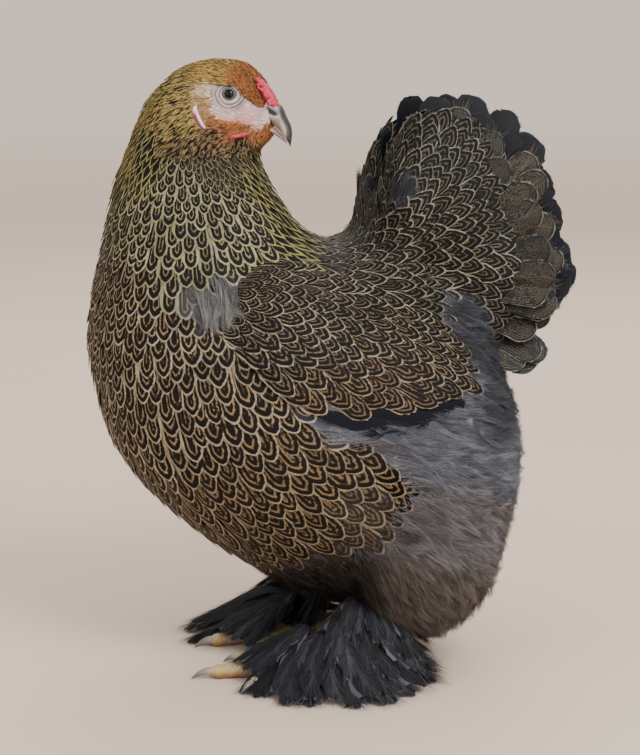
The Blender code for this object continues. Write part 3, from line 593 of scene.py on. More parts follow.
def spread_points(mesh, count, spacing_at, keep, seed):
    """Points over a mesh, each about its own spacing from the next, as (points, outs)."""
    mesh.calc_loop_triangles()
    corners = np.empty(len(mesh.loop_triangles) * 3, np.int64)
    mesh.loop_triangles.foreach_get("vertices", corners)
    points = points_of(mesh)[corners.reshape(-1, 3)]
    cross = np.cross(points[:, 1] - points[:, 0], points[:, 2] - points[:, 0])
    area = np.linalg.norm(cross, axis=1) / 2
    rng = np.random.default_rng(seed)
    pick = rng.choice(len(area), size=count, p=area / area.sum())
    a, b = rng.random((2, count))
    flip = a + b > 1
    a[flip], b[flip] = 1 - a[flip], 1 - b[flip]
    corner = points[pick]
    spots = corner[:, 0] + (corner[:, 1] - corner[:, 0]) * a[:, None] + (corner[:, 2] - corner[:, 0]) * b[:, None]
    outs = unit(cross[pick])
    kept = keep(spots, outs)
    spots, outs = spots[kept], outs[kept]
    if spacing_at is None:
        return spots, outs
    chosen = farthest(spots, spacing_at(spots))
    return spots[chosen], outs[chosen]


def farthest(spots, spacing):
    """Indices of spots picked one by one, each the one least covered by those before it."""
    gap = np.full(len(spots), np.inf)
    chosen = []
    index = 0
    while True:
        chosen.append(index)
        away = np.linalg.norm(spots - spots[index], axis=1) / np.minimum(spacing, spacing[index])
        gap = np.minimum(gap, away)
        index = int(np.argmax(gap))
        if gap[index] < 0.8:
            return np.array(chosen)


def trails(tree, tips, outs, lengths, flow_at, steps=5):
    """For each tip, points and outward directions from the root to the tip along the lie."""
    points, normals = [tips], [outs]
    for _ in range(steps):
        here, out = points[-1], normals[-1]
        way = flow_at(here)
        way = unit(way - out * (way * out).sum(axis=1, keepdims=True))
        back = here - way * (lengths / steps)[:, None]
        found = [tree.find_nearest(Vector(point)) for point in back]
        points.append(np.array([hit[0] for hit in found]))
        normals.append(unit(np.array([hit[1] for hit in found]) + out * 0.6))
    return np.stack(points[::-1], axis=1), np.stack(normals[::-1], axis=1)


def on_path(nodes, v):
    """Points of smooth paths (feather, node, 3) at places v (feather, place)."""
    last = nodes.shape[1] - 1
    x = np.clip(v, 0, 1) * last
    i = np.minimum(x.astype(int), last - 1)
    t = (x - i)[..., None]
    padded = np.concatenate([2 * nodes[:, :1] - nodes[:, 1:2], nodes, 2 * nodes[:, -1:] - nodes[:, -2:-1]], axis=1)
    row = np.arange(len(nodes))[:, None]
    p, a, b, s = (padded[row, i + k] for k in range(4))
    return 0.5 * (2 * a + (b - p) * t + (2 * p - 5 * a + 4 * b - s) * t * t + (3 * a - p - 3 * b + s) * t ** 3)


class Plume:
    """A batch of feathers: their paths, sizes and looks."""

    def __init__(self, paths, outs, half, look, lift=(-6.0, 0.8), arch=0.16, roll=None, seed=1):
        rng = np.random.default_rng(seed)
        count = len(paths)
        rise = np.linspace(lift[0], lift[1], paths.shape[1])
        wobble = rng.normal(0, 0.35, (count, 1))
        self.paths = paths + outs * (rise[None] + wobble * np.linspace(0.3, 1, paths.shape[1]))[..., None]
        self.outs = outs
        self.half = np.asarray(half, float) * np.ones(count)
        self.length = np.linalg.norm(np.diff(self.paths, axis=1), axis=2).sum(axis=1)
        self.look = look
        self.arch = arch
        self.roll = rng.normal(0, 0.05, count) if roll is None else roll
        self.seed = rng.random(count)
        self.start = np.clip(1 - self.half * look[:, 10] / self.length, 0.25, 0.9)
        self.power = np.clip(2.3 - look[:, 10] * 0.5, 1.1, 2.0)

    def place(self, u, v, height):
        """Points at places across (u, in half widths) and along (v, from root to tip) each feather."""
        shape = u.shape
        flat_v = v.reshape(len(u), -1)
        centre = on_path(self.paths, flat_v)
        ahead = unit(on_path(self.paths, flat_v + 0.02) - on_path(self.paths, flat_v - 0.02) + 1e-9)
        out = unit(on_path(self.outs, flat_v))
        across = unit(np.cross(ahead, out))
        out = np.cross(across, ahead)
        u, height = u.reshape(len(u), -1), np.broadcast_to(height, shape).reshape(len(u), -1)
        half = self.half[:, None]
        sag = -self.arch * half * np.abs(u) ** 1.8 + self.roll[:, None] * u * half
        made = centre + across * (u * half)[..., None] + out * (sag + height)[..., None]
        return made.reshape(*shape, 3)


class Build:
    """Collects points, faces and what the plumage material reads, for one piece."""

    def __init__(self):
        self.parts = []

    def add(self, points, faces, u, v, plume, root_uv, patch):
        """points (feather, point, 3), faces as lists of point numbers, u and v at each point."""
        self.parts.append((points, faces, u, v, plume, root_uv, patch))

    def mesh(self, name):
        points, sizes, corners, bake = [], [], [], []
        spot, tint, shade, plan, form = [], [], [], [], []
        base = 0
        for pts, faces, u, v, plume, root_uv, patch in self.parts:
            count, each = pts.shape[:2]
            points.append(pts.reshape(-1, 3))
            start = base + np.arange(count)[:, None] * each
            flat = np.concatenate([np.asarray(face) for face in faces])
            corners.append((start + flat[None]).ravel())
            sizes.append(np.tile([len(face) for face in faces], count))
            ones = np.ones((count, each))
            spot.append(np.stack([u, v, ones * plume.seed[:, None]], axis=-1).reshape(-1, 3))
            look = plume.look
            tint.append(np.repeat(np.hstack([look[:, :3], look[:, 9:10]]), each, axis=0))
            shade.append(np.repeat(np.hstack([look[:, 3:6], look[:, 10:11]]), each, axis=0))
            form.append(np.repeat(np.stack([plume.start, plume.power, look[:, 11]], axis=1), each, axis=0))
            plan.append(np.repeat(look[:, 6:9], each, axis=0))
            around = np.stack([u * 0.5, v - 0.5], axis=-1) * np.asarray(patch).reshape(-1, 1, 1)
            bake.append(np.clip(root_uv[:, None] + around, 0.001, 0.999).reshape(-1, 2))
            base += count * each
        points, corners, sizes = np.vstack(points), np.concatenate(corners), np.concatenate(sizes)
        mesh = bpy.data.meshes.new(name)
        mesh.vertices.add(len(points))
        mesh.vertices.foreach_set("co", points.astype(np.float32).ravel())
        mesh.loops.add(len(corners))
        mesh.loops.foreach_set("vertex_index", corners.astype(np.int32))
        mesh.polygons.add(len(sizes))
        mesh.polygons.foreach_set("loop_start", np.concatenate([[0], np.cumsum(sizes)[:-1]]).astype(np.int32))
        mesh.update(calc_edges=True)
        for label, rows in (("spot", spot), ("plan", plan), ("form", form)):
            attribute = mesh.attributes.new(label, "FLOAT_VECTOR", "POINT")
            attribute.data.foreach_set("vector", np.vstack(rows).astype(np.float32).ravel())
        for label, rows in (("tint", tint), ("shade", shade)):
            attribute = mesh.attributes.new(label, "FLOAT_COLOR", "POINT")
            attribute.data.foreach_set("color", np.vstack(rows).astype(np.float32).ravel())
        layer = mesh.uv_layers.new(name="OFBake")
        layer.data.foreach_set("uv", np.vstack(bake)[corners].astype(np.float32).ravel())
        mesh.shade_smooth()
        mesh.set_sharp_from_angle(angle=math.radians(50))
        return mesh


def vane_grid(columns, base_rows, tip_rows):
    """Faces of a closed vane: a domed top of columns by rows, and a ridge below its middle."""
    rows = base_rows + tip_rows
    faces = []
    low = rows * columns
    for r in range(rows - 1):
        for c in range(columns - 1):
            a, b = r * columns + c, (r + 1) * columns + c
            faces.append((a, a + 1, b + 1, b))
        left, right = r * columns, r * columns + columns - 1
        faces.append((left, left + columns, low + r + 1, low + r))
        faces.append((low + r, low + r + 1, right + columns, right))
    faces.append((*range(columns - 1, -1, -1), low))
    end = (rows - 1) * columns
    faces.append((*range(end, end + columns), low + rows - 1))
    return faces


def add_vanes(build, plume, root_uv, patch, columns=5, base_rows=4, tip_rows=6, thick=0.5, frayed=0.05, seed=3):
    """Adds each feather of a plume as one closed vane with a rounded or pointed tip."""
    rng = np.random.default_rng(seed)
    count = len(plume.paths)
    start, power = plume.start, plume.power
    rows = base_rows + tip_rows
    v = np.empty((count, rows))
    width = np.empty((count, rows))
    for r in range(base_rows):
        share = r / base_rows
        v[:, r] = start * share
        width[:, r] = 0.5 + 0.5 * ease(share, 0.0, 0.6)
    for r in range(tip_rows):
        angle = math.radians(86) * r / (tip_rows - 1)
        v[:, base_rows + r] = start + (1 - start) * math.sin(angle)
        width[:, base_rows + r] = (1 - math.sin(angle) ** power) ** (1 / power)
    u = np.linspace(-1, 1, columns)[None, None] * width[..., None]
    v_top = np.broadcast_to(v[..., None], u.shape).copy()
    fray = rng.normal(0, frayed, (count, rows, 2))
    u[..., 0] *= 1 + fray[..., 0]
    u[..., -1] *= 1 + fray[..., 1]
    v_top[..., 0] += fray[..., 1] * 0.25
    v_top[..., -1] += fray[..., 0] * 0.25
    u_low, v_low = np.zeros((count, rows)), v
    u_all = np.concatenate([u.reshape(count, -1), u_low], axis=1)
    v_all = np.concatenate([v_top.reshape(count, -1), v_low], axis=1)
    height = np.zeros_like(u_all)
    height[:, rows * columns:] = -thick - 0.1 * plume.arch * plume.half[:, None]
    points = plume.place(u_all, np.clip(v_all, 0, 1.02), height)
    build.add(points, vane_grid(columns, base_rows, tip_rows), u_all, v_all, plume, root_uv, patch)


def add_barbs(build, plume, root_uv, patch, barbs, thick=0.22, spread=1.0, height=0.9, reach=0.36, seed=5):
    """Adds loose barbs to each feather: thin tapered strands that leave the shaft towards the tip."""
    rng = np.random.default_rng(seed)
    count = len(plume.paths)
    leave = rng.uniform(0.1, 0.86, (count, barbs))
    side = rng.choice((-1.0, 1.0), (count, barbs))
    out_by = rng.uniform(0.1, 1.0, (count, barbs)) * spread
    run = rng.uniform(0.55, 1.0, (count, barbs)) * reach
    lift = rng.normal(0.2, height, (count, barbs))
    nodes = []
    for share in (0.0, 1.0):
        u = side * out_by * share + rng.normal(0, 0.06, (count, barbs))
        nodes.append((u, leave + run * share, lift * share))
    add_spikes(build, plume, root_uv, patch, nodes, thick)


def add_fringe(build, plume, root_uv, patch, strands=16, thick=0.22, past=0.22, seed=7):
    """Adds short barb ends that leave the rim of each vane, so that no rim ends in a clean edge."""
    rng = np.random.default_rng(seed)
    count = len(plume.paths)
    start, power = plume.start[:, None], plume.power[:, None]
    lean = rng.uniform(-1, 1, (count, strands))
    around = np.abs(lean) ** 0.75 * 1.45
    side = np.sign(lean)
    sine = np.cos(around)
    wide = (1 - np.clip(sine, 0, 1) ** power) ** (1 / power)
    v_rim = start + (1 - start) * sine - rng.uniform(0, 0.12, (count, strands)) * (around > 1.3)
    u_rim = side * wide
    share = (plume.half / plume.length)[:, None]
    more = past * rng.uniform(0.3, 1.0, (count, strands))
    nodes = []
    for k, height in ((-1.6, 0.1), (1.0, -0.05)):
        u = u_rim + side * more * k * (0.25 + 0.75 * wide) * 0.8
        v = v_rim + more * k * share * (1.15 - 0.4 * wide)
        nodes.append((u, v, np.full(u.shape, height)))
    add_spikes(build, plume, root_uv, patch, nodes, thick)


SPIKE_FACES = ((0, 2, 1), (0, 1, 3), (1, 2, 3), (2, 0, 3))


def add_spikes(build, plume, root_uv, patch, nodes, thick):
    """Adds straight closed spikes from one place (u, v, height) to another."""
    count, spikes = nodes[0][0].shape
    tail = unit(plume.paths[:, -1] - plume.paths[:, -2])[:, None]
    ends = []
    for u, v, height in nodes:
        past = (np.maximum(v - 1, 0) * plume.length[:, None])[..., None]
        ends.append(plume.place(u, np.minimum(v, 1.0), height) + tail * past)
    start, tip = ends
    out = np.broadcast_to(unit(plume.outs[:, -1])[:, None], start.shape)
    cross = unit(np.cross(unit(tip - start), out))
    points = np.stack([start + cross * thick, start - cross * thick, start - out * thick, tip], axis=2)
    u_all = np.repeat(nodes[0][0][..., None], 4, axis=2).reshape(count, -1)
    v_all = np.stack([nodes[0][1]] * 3 + [nodes[1][1]], axis=2).reshape(count, -1)
    faces = [tuple(i + 4 * b for i in face) for b in range(spikes) for face in SPIKE_FACES]
    build.add(points.reshape(count, spikes * 4, 3), faces, u_all, v_all, plume, root_uv, patch)


def body_unwrap(points):
    """A root's place on an unwrap of the body: along it, and round it, both sides side by side."""
    flat = sagittal(points)
    around = np.arctan2(points[:, 0], points[:, 2] - 190)
    u = 0.5 + around / (2 * math.pi)
    v = (flat[:, 0] + 190) / 400
    return np.stack([0.04 + 0.92 * u, 0.04 + 0.92 * np.clip(v, 0, 1)], axis=1)


def patch_sizes(root_uv, largest=0.03, smallest=0.003):
    """A patch for each root that stays clear of its neighbours' patches on the unwrap."""
    sizes = np.empty(len(root_uv))
    for k in range(len(root_uv)):
        gap = np.abs(root_uv - root_uv[k]).max(axis=1)
        gap[k] = 1
        sizes[k] = gap.min()
    return np.clip(sizes * 0.9, smallest, largest)


# Materials

class Nodes:
    """Short names for building a node tree."""

    def __init__(self, name):
        self.material = bpy.data.materials.new(name)
        self.material.use_nodes = True
        self.tree = self.material.node_tree
        self.shader = self.tree.nodes["Principled BSDF"]

    def link(self, source, target):
        if isinstance(source, bpy.types.NodeSocket):
            self.tree.links.new(source, target)
        else:
            target.default_value = source

    def node(self, kind, **settings):
        made = self.tree.nodes.new(kind)
        for key, value in settings.items():
            setattr(made, key, value)
        return made

    def attribute(self, name):
        return self.node("ShaderNodeAttribute", attribute_name=name)

    def math(self, operation, a, b=0.0, c=0.0, clamp=False):
        made = self.node("ShaderNodeMath", operation=operation, use_clamp=clamp)
        for socket, value in zip(made.inputs, (a, b, c)):
            self.link(value, socket)
        return made.outputs[0]

    def steps(self, value, low, high):
        """A smooth step of a value from 0 at low to 1 at high."""
        made = self.node("ShaderNodeMapRange", interpolation_type="SMOOTHSTEP")
        for socket, number in zip((0, 1, 2), (value, low, high)):
            self.link(number, made.inputs[socket])
        return made.outputs[0]

    def mix(self, factor, a, b, blend="MIX"):
        made = self.node("ShaderNodeMix", data_type="RGBA", blend_type=blend)
        self.link(factor, made.inputs[0])
        for value, socket in ((a, made.inputs[6]), (b, made.inputs[7])):
            self.link((*value, 1.0) if isinstance(value, (tuple, np.ndarray)) else value, socket)
        return made.outputs[2]

    def noise(self, scale, detail=2.0, rough=0.5, vector=None, stretch=None):
        place = vector or self.node("ShaderNodeTexCoord").outputs["Object"]
        if stretch:
            mapping = self.node("ShaderNodeMapping")
            self.link(place, mapping.inputs["Vector"])
            mapping.inputs["Scale"].default_value = stretch
            place = mapping.outputs[0]
        made = self.node("ShaderNodeTexNoise")
        self.link(place, made.inputs["Vector"])
        made.inputs["Scale"].default_value = scale
        made.inputs["Detail"].default_value = detail
        made.inputs["Roughness"].default_value = rough
        return made.outputs["Fac"]

    def bump(self, height, distance, strength=1.0):
        made = self.node("ShaderNodeBump")
        made.inputs["Distance"].default_value = distance
        made.inputs["Strength"].default_value = strength
        self.link(height, made.inputs["Height"])
        self.link(made.outputs[0], self.shader.inputs["Normal"])

    def set(self, **values):
        for key, value in values.items():
            self.link(value, self.shader.inputs[key.replace("_", " ")])


def plumage_material(name, roughness=0.62, gloss=0.12, mottle=0.22, root=(88, 90, 98)):
    """Pencilled plumage: lines that follow each feather's rim, over fine barbs."""
    n = Nodes(name)
    spot = n.node("ShaderNodeSeparateXYZ")
    n.link(n.attribute("spot").outputs["Vector"], spot.inputs[0])
    u, v, seed = spot.outputs
    tint, shade = n.attribute("tint"), n.attribute("shade")
    plan, form = n.node("ShaderNodeSeparateXYZ"), n.node("ShaderNodeSeparateXYZ")
    n.link(n.attribute("plan").outputs["Vector"], plan.inputs[0])
    n.link(n.attribute("form").outputs["Vector"], form.inputs[0])
    edge, pitch, share = plan.outputs
    start, power, close = form.outputs
    inner = tint.outputs["Alpha"]
    # A vector that differs from feather to feather keeps the noise from running on between them.
    local = n.node("ShaderNodeCombineXYZ")
    n.link(u, local.inputs[0])
    n.link(n.math("MULTIPLY", v, 4.0), local.inputs[1])
    n.link(n.math("MULTIPLY", seed, 37.0), local.inputs[2])
    warp = n.math("SUBTRACT", n.noise(2.6, 3.0, 0.65, local.outputs[0]), 0.5)
    across = n.math("ABSOLUTE", n.math("ADD", u, n.math("MULTIPLY", warp, 0.3)))
    # Barbs leave the shaft and bend towards the tip, so that their streaks run along u - v.
    barb_place = n.node("ShaderNodeCombineXYZ")
    n.link(n.math("MULTIPLY_ADD", across, -1.1, n.math("MULTIPLY", v, 4.0)), barb_place.inputs[0])
    n.link(n.math("MULTIPLY", u, 0.25), barb_place.inputs[1])
    n.link(n.math("MULTIPLY", seed, 91.0), barb_place.inputs[2])
    barbs = n.noise(16.0, 2.0, 0.7, barb_place.outputs[0])
    # The lines close towards the root, and at the tip they follow the feather's own rim.
    back = n.math("POWER", n.math("MAXIMUM", n.math("SUBTRACT", 1.0, v), 0.0), 1.3)
    wide = n.math("MULTIPLY", across, n.math("MULTIPLY_ADD", back, close, 1.0))
    past = n.math("DIVIDE", n.math("SUBTRACT", v, start), n.math("SUBTRACT", 1.0, start))
    past = n.math("MAXIMUM", past, 0.0)
    rim = n.math("ADD", n.math("POWER", wide, power), n.math("POWER", past, power))
    rim = n.math("POWER", rim, n.math("DIVIDE", 1.0, power))
    rough = n.math("ADD", warp, n.math("SUBTRACT", barbs, 0.5))
    depth = n.math("ADD", n.math("SUBTRACT", 1.0, rim), n.math("MULTIPLY", rough, mottle * 0.5))
    on_edge = n.math("SUBTRACT", 1.0, n.steps(depth, n.math("MULTIPLY", edge, 0.7), n.math("MULTIPLY", edge, 1.3)))
    # The inner lines come to a point over the shaft.
    point = n.math("ADD", n.math("POWER", wide, 1.25), n.math("POWER", past, 1.25))
    point = n.math("SUBTRACT", 1.0, n.math("POWER", point, 0.8))
    depth = n.math("MULTIPLY_ADD", point, 0.65, n.math("MULTIPLY", n.math("SUBTRACT", 1.0, rim), 0.35))
    depth = n.math("ADD", depth, n.math("MULTIPLY", rough, mottle * 1.3))
    turn = n.math("DIVIDE", n.math("SUBTRACT", depth, edge), pitch)
    wave = n.math("FRACT", turn)
    lit = n.steps(wave, n.math("SUBTRACT", 0.94, share), n.math("SUBTRACT", 1.08, share))
    lit = n.math("MULTIPLY", lit, n.math("SUBTRACT", 1.0, n.steps(wave, 0.9, 1.0)))
    # Here and there an inner line breaks off.
    whole = n.steps(n.noise(1.7, 2.0, 0.5, local.outputs[0]), 0.36, 0.46)
    whole = n.math("MULTIPLY_ADD", whole, 0.85, 0.15)
    lines = n.math("MULTIPLY", n.math("MULTIPLY", lit, inner), n.math("MULTIPLY", whole, n.steps(turn, 0.0, 0.1)))
    brown = n.mix(1.0, tint.outputs["Color"], (0.9, 0.76, 0.6), "MULTIPLY")
    colour = n.mix(lines, shade.outputs["Color"], brown)
    colour = n.mix(on_edge, colour, tint.outputs["Color"])
    tone = n.math("MULTIPLY_ADD", barbs, 0.9, 0.55)
    tone = n.math("MULTIPLY", tone, n.math("MULTIPLY_ADD", seed, 0.36, 0.82))
    grey = n.node("ShaderNodeCombineXYZ")
    for socket in grey.inputs:
        n.link(tone, socket)
    colour = n.mix(1.0, colour, grey.outputs[0], "MULTIPLY")
    base = n.math("SUBTRACT", 1.0, n.steps(v, 0.1, 0.34))
    colour = n.mix(n.math("MULTIPLY", base, 0.8), colour, tuple(linear(root)))
    n.set(Base_Color=colour)
    n.set(Roughness=n.math("MULTIPLY_ADD", barbs, 0.2, roughness - 0.1))
    n.shader.inputs["Specular IOR Level"].default_value = gloss
    n.shader.inputs["Sheen Roughness"].default_value = 0.5
    n.bump(barbs, 0.0003, 0.5)
    return n.material


def skin_material():
    """Bare, wrinkled facial skin, with painted shade in its creases and hollows, dark under the plumage."""
    n = Nodes("skin")
    bare = n.attribute("bare").outputs["Fac"]
    warm = n.attribute("warm").outputs["Fac"]
    fine = n.noise(900.0, 3.0, 0.6)
    broad = n.noise(160.0, 3.0, 0.6)
    pale = n.mix(n.steps(broad, 0.35, 0.7), tuple(linear((206, 190, 184))), tuple(linear((178, 150, 146))))
    rosy = n.mix(n.steps(broad, 0.35, 0.7), tuple(linear((206, 148, 134))), tuple(linear((176, 116, 104))))
    face = n.mix(warm, pale, rosy)
    face = n.mix(n.math("MULTIPLY", fine, 0.35), face, tuple(linear((134, 112, 112))))
    # Painted shade: the line attribute darkens the face in the creases round the eye, under the brow and in its
    # hollows.
    line = n.attribute("line").outputs["Fac"]
    face = n.mix(n.math("MULTIPLY", line, 0.75), face, tuple(linear((58, 44, 46))))
    marks = n.steps(n.noise(260.0, 3.0, 0.6), 0.5, 0.62)
    coat = n.mix(n.math("MULTIPLY", marks, 0.6), n.attribute("coat_dark").outputs["Color"],
                 n.attribute("coat_light").outputs["Color"])
    n.set(Base_Color=n.mix(bare, coat, face))
    n.set(Roughness=n.math("MULTIPLY_ADD", fine, 0.2, 0.45))
    n.shader.inputs["Subsurface Weight"].default_value = 0.08
    n.shader.inputs["Subsurface Radius"].default_value = (0.004, 0.0015, 0.001)
    n.bump(n.math("ADD", fine, broad), 0.0004, 0.7)
    return n.material


def simple_material(name, light, dark, scale, roughness, bump=0.0002, gloss=0.5, subsurface=0.0, coat=0.0):
    """One colour broken up by noise into a second, with matching bump."""
    n = Nodes(name)
    broad = n.noise(scale, 4.0, 0.6)
    fine = n.noise(scale * 6, 2.0, 0.6)
    n.set(Base_Color=n.mix(n.steps(broad, 0.35, 0.68), tuple(linear(light)), tuple(linear(dark))))
    n.set(Roughness=n.math("MULTIPLY_ADD", fine, 0.25, roughness - 0.1))
    n.shader.inputs["Specular IOR Level"].default_value = gloss
    n.shader.inputs["Subsurface Weight"].default_value = subsurface
    n.shader.inputs["Subsurface Radius"].default_value = (0.003, 0.001, 0.0008)
    n.shader.inputs["Coat Weight"].default_value = coat
    n.bump(n.math("ADD", broad, n.math("MULTIPLY", fine, 0.4)), bump)
    return n.material


def toned_material(name, colours, roughness, scale=300.0, stretch=None, bump=0.0002, coat=0.0, gloss=0.5):
    """Colours along the piece's own tone attribute, from 0 to 1, with fine streaks."""
    n = Nodes(name)
    tone = n.attribute("tone").outputs["Fac"]
    streaks = n.noise(scale, 3.0, 0.6, stretch=stretch)
    place = n.math("ADD", tone, n.math("MULTIPLY", n.math("SUBTRACT", streaks, 0.5), 0.16))
    ramp = n.node("ShaderNodeValToRGB")
    n.link(place, ramp.inputs[0])
    stops = ramp.color_ramp.elements
    while len(stops) < len(colours):
        stops.new(0.5)
    for stop, (position, colour) in zip(stops, colours):
        stop.position = position
        stop.color = (*linear(colour), 1)
    n.set(Base_Color=ramp.outputs[0])
    n.set(Roughness=n.math("MULTIPLY_ADD", streaks, 0.2, roughness - 0.1))
    n.shader.inputs["Specular IOR Level"].default_value = gloss
    n.shader.inputs["Coat Weight"].default_value = coat
    n.shader.inputs["Coat Roughness"].default_value = 0.03
    n.bump(streaks, bump)
    return n.material


# Head: skin, lids, eyes, bill, comb, wattles and earlobes

# The bare skin of the face, as (forward, up) from the head's centre.
BARE_FACE = (
    (-9.0, 11.8), (-4.0, 12.6), (1.2, 11.8), (3.8, 11.4), (9.0, 11.6), (12.5, 9.7), (15.1, 5.2), (19.9, 1.4),
    (25.0, -2.3), (28.6, -3.6), (32.1, -1.0), (42, 0), (42, -14), (32.8, -14), (29.5, -17.4), (28.6, -20.3),
    (20.5, -20.0), (19.9, -17.4), (15.4, -14.3), (10.2, -13.9), (3.8, -12.7), (-1.6, -11.0), (-5.4, -7.4),
    (-7.6, -1.0), (-8.8, 5.4),
)


def in_head(points):
    """(forward, side, up) of points, from the head's centre."""
    arm = points - head_point(0, 0, 0)
    return np.stack([arm @ HEAD_FORWARD, arm @ HEAD_SIDE, arm[:, 2]], axis=1)


def depth_inside(outline, flat):
    """How far each flat point lies inside an outline, negative outside."""
    outline = np.asarray(outline, float)
    nearest = np.full(len(flat), np.inf)
    inside = np.zeros(len(flat), bool)
    for a, b in zip(outline, np.roll(outline, -1, axis=0)):
        edge = b - a
        t = np.clip(((flat - a) @ edge) / (edge @ edge), 0, 1)
        nearest = np.minimum(nearest, np.linalg.norm(flat - a - t[:, None] * edge, axis=1))
        crosses = (a[1] > flat[:, 1]) != (b[1] > flat[:, 1])
        where = a[0] + (flat[:, 1] - a[1]) / (b[1] - a[1] if b[1] != a[1] else 1e-9) * (b[0] - a[0])
        inside ^= crosses & (flat[:, 0] < where)
    return np.where(inside, nearest, -nearest)


def node_centre(node):
    """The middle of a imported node, in millimetres of the hen's frame."""
    low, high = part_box(node)
    return np.array((low + high) / 2) * 1000 - SHIFT


def gaze(side):
    """The way an eye looks: out, and a little forwards and up."""
    return unit(HEAD_SIDE * side + HEAD_FORWARD * 0.16 + np.array((0, 0, 0.10)))


def ring_fold(centre, normal, radii, thickness, around=56, sides=12):
    """A closed oval ring of skin round the eye, a little thicker above."""
    across = unit(np.cross(np.array((0, 0, 1.0)), normal))
    up = np.cross(normal, across)
    rings = []
    for angle in np.linspace(0, 2 * math.pi, around, endpoint=False):
        out = across * math.cos(angle) * radii[0] + up * math.sin(angle) * radii[1]
        thick = thickness * (0.72 - 0.5 * math.sin(angle))
        b = np.linspace(0, 2 * math.pi, sides, endpoint=False)
        rings.append(centre + out + np.outer(np.cos(b), unit(out)) * thick + np.outer(np.sin(b), normal) * thick)
    points = np.vstack(rings)
    faces = []
    for i in range(around):
        for k in range(sides):
            j, m = (i + 1) % around, (k + 1) % sides
            faces.append((i * sides + k, i * sides + m, j * sides + m, j * sides + k))
    return points, faces


def face_relief(points):
    """How far the face stands out: an eye socket, rings of fine folds and wrinkles to the bill."""
    local = in_head(points)
    eye = np.array(EYE_SPOT)
    flat = local[:, (0, 2)]
    away = np.linalg.norm(flat - eye, axis=1)
    on_side = ease(np.abs(local[:, 1]), 6, 11)
    bare = ease(depth_inside(BARE_FACE, flat), -0.5, 1.5)
    wobble = 0.5 * np.sin(flat[:, 0] * 0.5 + 1) + 0.4 * np.sin(flat[:, 1] * 0.7 + flat[:, 0] * 0.2)
    rings = 0.5 * np.cos((away + wobble * 0.6) * 2 * math.pi / 2.2) * np.exp(-np.maximum(away - 9, 0) / 4.0)
    socket = -0.8 * np.exp(-((away - 10.5) / 3.2) ** 2)
    slant = flat[:, 1] + 0.36 * flat[:, 0] + 1.1 * wobble
    wrinkles = 0.34 * np.sin(slant * 2 * math.pi / 2.1) + 0.2 * np.sin(slant * 2 * math.pi / 1.2 + wobble * 3)
    gape = 1.3 * np.exp(-((flat[:, 1] - np.interp(flat[:, 0], (8, 16, 32), (-13.6, -14.6, -15.2))) / 1.1) ** 2)
    gape = gape * ease(flat[:, 0], 11, 16)
    return on_side * (bare * (rings * ease(away, 7, 9) + wrinkles * ease(away, 10, 14) + gape) + socket)


def crown_rise(points):
    """How much further the crown's full feathers stand out over the forehead, behind the comb."""
    forward, aside, up = in_head(points).T
    along = ease(forward, -4, 19) * (1 - ease(forward, 30, 38))
    return 4.6 * along * ease(up, -2, 9) * np.exp(-((aside + 1.2) / 5.0) ** 2)


